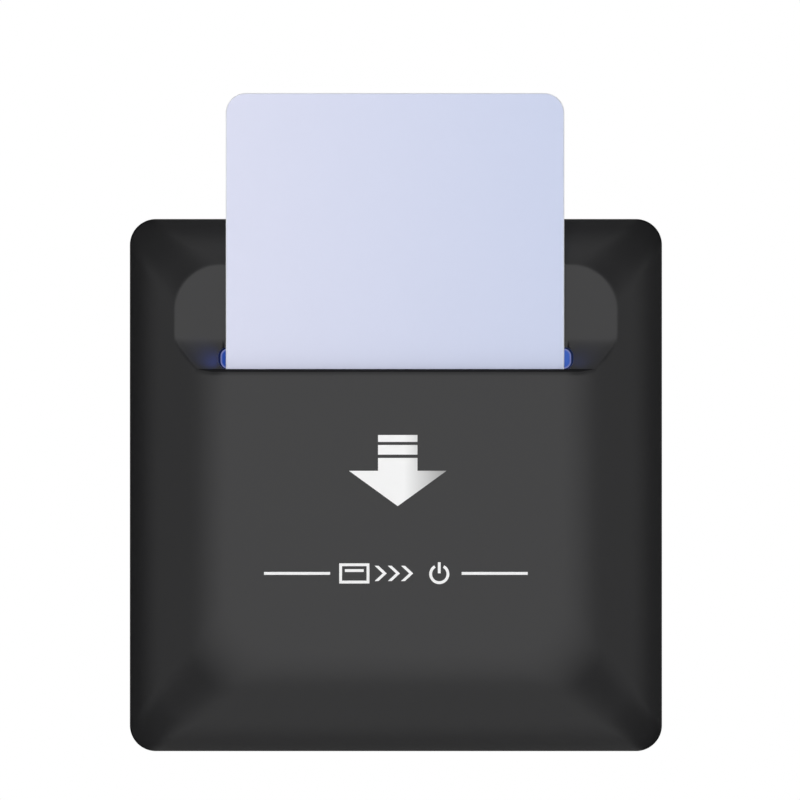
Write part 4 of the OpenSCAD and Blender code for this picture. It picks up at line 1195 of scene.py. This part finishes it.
def surround_level(tree, settings):
    """Level of the surround by direction: bright before the face, darker to the sides and the corners."""
    way = add_node(tree, "TexCoord").outputs["Generated"]
    x, y, z = add_node(tree, "SeparateXYZ", {0: way}).outputs
    # The corners follow (x z)^4 / (x^2 + z^2)^3, which is a sixteenth at its peaks beside the face
    to_full = -16
    sockets = ("Value", "From Min", "From Max", "To Min", "To Max")
    ranges = (
        # From straight ahead to beside the face, then off to nothing behind it
        (y, -1.0, -0.58, settings.front, settings.sides),
        (y, -0.3, 0.25, 0.0, -settings.sides),
        (z, 0.0, 1.0, 0.0, settings.above),
        (x, 0.0, 1.0, 0.0, settings.right),
        (z, -1.0, 0.0, settings.below, 0.0),
        # How far the lower and the upper corners are darkened
        (z, -0.6, 0.6, to_full * settings.lower_corners, to_full * settings.upper_corners),
        # A pale patch straight behind, which the back of the switch shows
        (y, 0.88, 0.98, 0.0, 0.9),
    )
    shares = [add_node(tree, "MapRange", dict(zip(sockets, values))) for values in ranges]
    sides, *extras, depth, rear = shares
    for extra in extras:
        sides = add_node(tree, "Math", {0: sides, 1: extra}, operation="ADD")
    both = add_node(tree, "Math", {0: x, 1: z}, operation="MULTIPLY")
    apart = add_node(tree, "Math", {0: both}, operation="ABSOLUTE")
    peak = add_node(tree, "Math", {0: apart, 1: 4.0}, operation="POWER")
    along = add_node(tree, "Math", {0: y, 1: y}, operation="MULTIPLY")
    off = add_node(tree, "Math", {0: 1.0, 1: along}, operation="SUBTRACT")
    spread = add_node(tree, "Math", {0: off, 1: 3.0}, operation="POWER")
    corner = add_node(tree, "Math", {0: peak, 1: spread}, operation="DIVIDE")
    dark = add_node(tree, "Math", {0: corner, 1: depth, 2: sides}, operation="MULTIPLY_ADD")
    return add_node(tree, "Math", {0: dark, 1: rear}, operation="MAXIMUM")


def add_world(scene, settings):
    """White ground with even fill, and a shaped surround that only the gloss sees."""
    world = bpy.data.worlds.new("studio")
    world.use_nodes = True
    world.cycles.sampling_method = "NONE"
    tree = world.node_tree
    tree.nodes.clear()
    white = (1, 1, 1, 1)
    levels = (settings.ambient, surround_level(tree, settings), 1.0)
    fill, gloss, ground = (add_node(tree, "Background", {"Color": white, "Strength": v}) for v in levels)
    is_gloss = add_node(tree, "LightPath").outputs["Is Glossy Ray"]
    lit = add_node(tree, "MixShader", {0: is_gloss, 1: fill, 2: gloss})
    seen = add_node(tree, "MixShader", {0: seen_ray(tree), 1: lit, 2: ground})
    add_node(tree, "OutputWorld", {0: seen})
    scene.world = world


def add_floor(scene, settings):
    """Pale floor that is white to the eye and keeps the shadow under the switch."""
    half, shadow_reach, clear_reach, shadow_white = 2.0, 0.08, 0.16, 0.7
    height = CAD_BOX[0].z - settings.floor_gap
    mesh = bpy.data.meshes.new("floor")
    mesh.from_pydata([(sx * half, sy * half, height) for sx, sy in QUARTERS], [], [(0, 1, 2, 3)])
    # Matt white paper: even, with a faint clouding of its fibres
    made, tree, where = new_material("matt_white_paper")
    fibres = cloudy_tint(tree, where, 4, linear("#f4f4f4"), linear("#ececec"))
    paper = add_node(tree, "BsdfDiffuse", {"Color": fibres})
    white = add_node(tree, "Emission", {"Color": (1, 1, 1, 1), "Strength": 1.0})
    reach = add_node(tree, "VectorMath", {0: where}, operation="LENGTH").outputs["Value"]
    fade = {"Value": reach, "From Min": shadow_reach, "From Max": clear_reach, "To Min": shadow_white}
    clear = add_node(tree, "MapRange", fade, interpolation_type="SMOOTHSTEP")
    share = add_node(tree, "Math", {0: seen_ray(tree), 1: clear}, operation="MULTIPLY")
    mixed = add_node(tree, "MixShader", {0: share, 1: paper, 2: white})
    add_node(tree, "OutputMaterial", {0: mixed})
    mesh.materials.append(made)
    floor = bpy.data.objects.new("floor", mesh)
    floor.visible_glossy = False
    scene.collection.objects.link(floor)


BUILD = (
    KEYSWITCH_OT_stage,
    KEYSWITCH_OT_face_plate,
    KEYSWITCH_OT_room_card,
    KEYSWITCH_OT_light_bar,
    KEYSWITCH_OT_signs,
    KEYSWITCH_OT_return_spring,
    KEYSWITCH_OT_mouldings,
    KEYSWITCH_OT_metalwork,
    KEYSWITCH_OT_electronics,
)


class KEYSWITCH_PT_build(bpy.types.Panel):
    """Lists the steps that build the switch"""

    bl_idname = "KEYSWITCH_PT_build"
    bl_label = "Key card switch"
    bl_space_type = "VIEW_3D"
    bl_region_type = "UI"
    bl_category = "Key card switch"

    def draw(self, context):
        for step in BUILD:
            self.layout.operator(step.bl_idname)


SETTINGS = {
    "keyswitch_cover": CoverSettings,
    "keyswitch_face": FaceSettings,
    "keyswitch_stage": StageSettings,
}


def register():
    """Registers the settings, the operators and the panel."""
    for name, group in SETTINGS.items():
        bpy.utils.register_class(group)
        setattr(bpy.types.Scene, name, PointerProperty(type=group))
    for step in (*BUILD, KEYSWITCH_PT_build):
        bpy.utils.register_class(step)


def unregister():
    """Takes them out again."""
    for step in (KEYSWITCH_PT_build, *reversed(BUILD)):
        bpy.utils.unregister_class(step)
    for name, group in SETTINGS.items():
        delattr(bpy.types.Scene, name)
        bpy.utils.unregister_class(group)


def main():
    """Builds the switch step by step."""
    register()
    for step in BUILD:
        group, name = step.bl_idname.split(".")
        getattr(getattr(bpy.ops, group), name)()


if __name__ == "__main__":
    main()
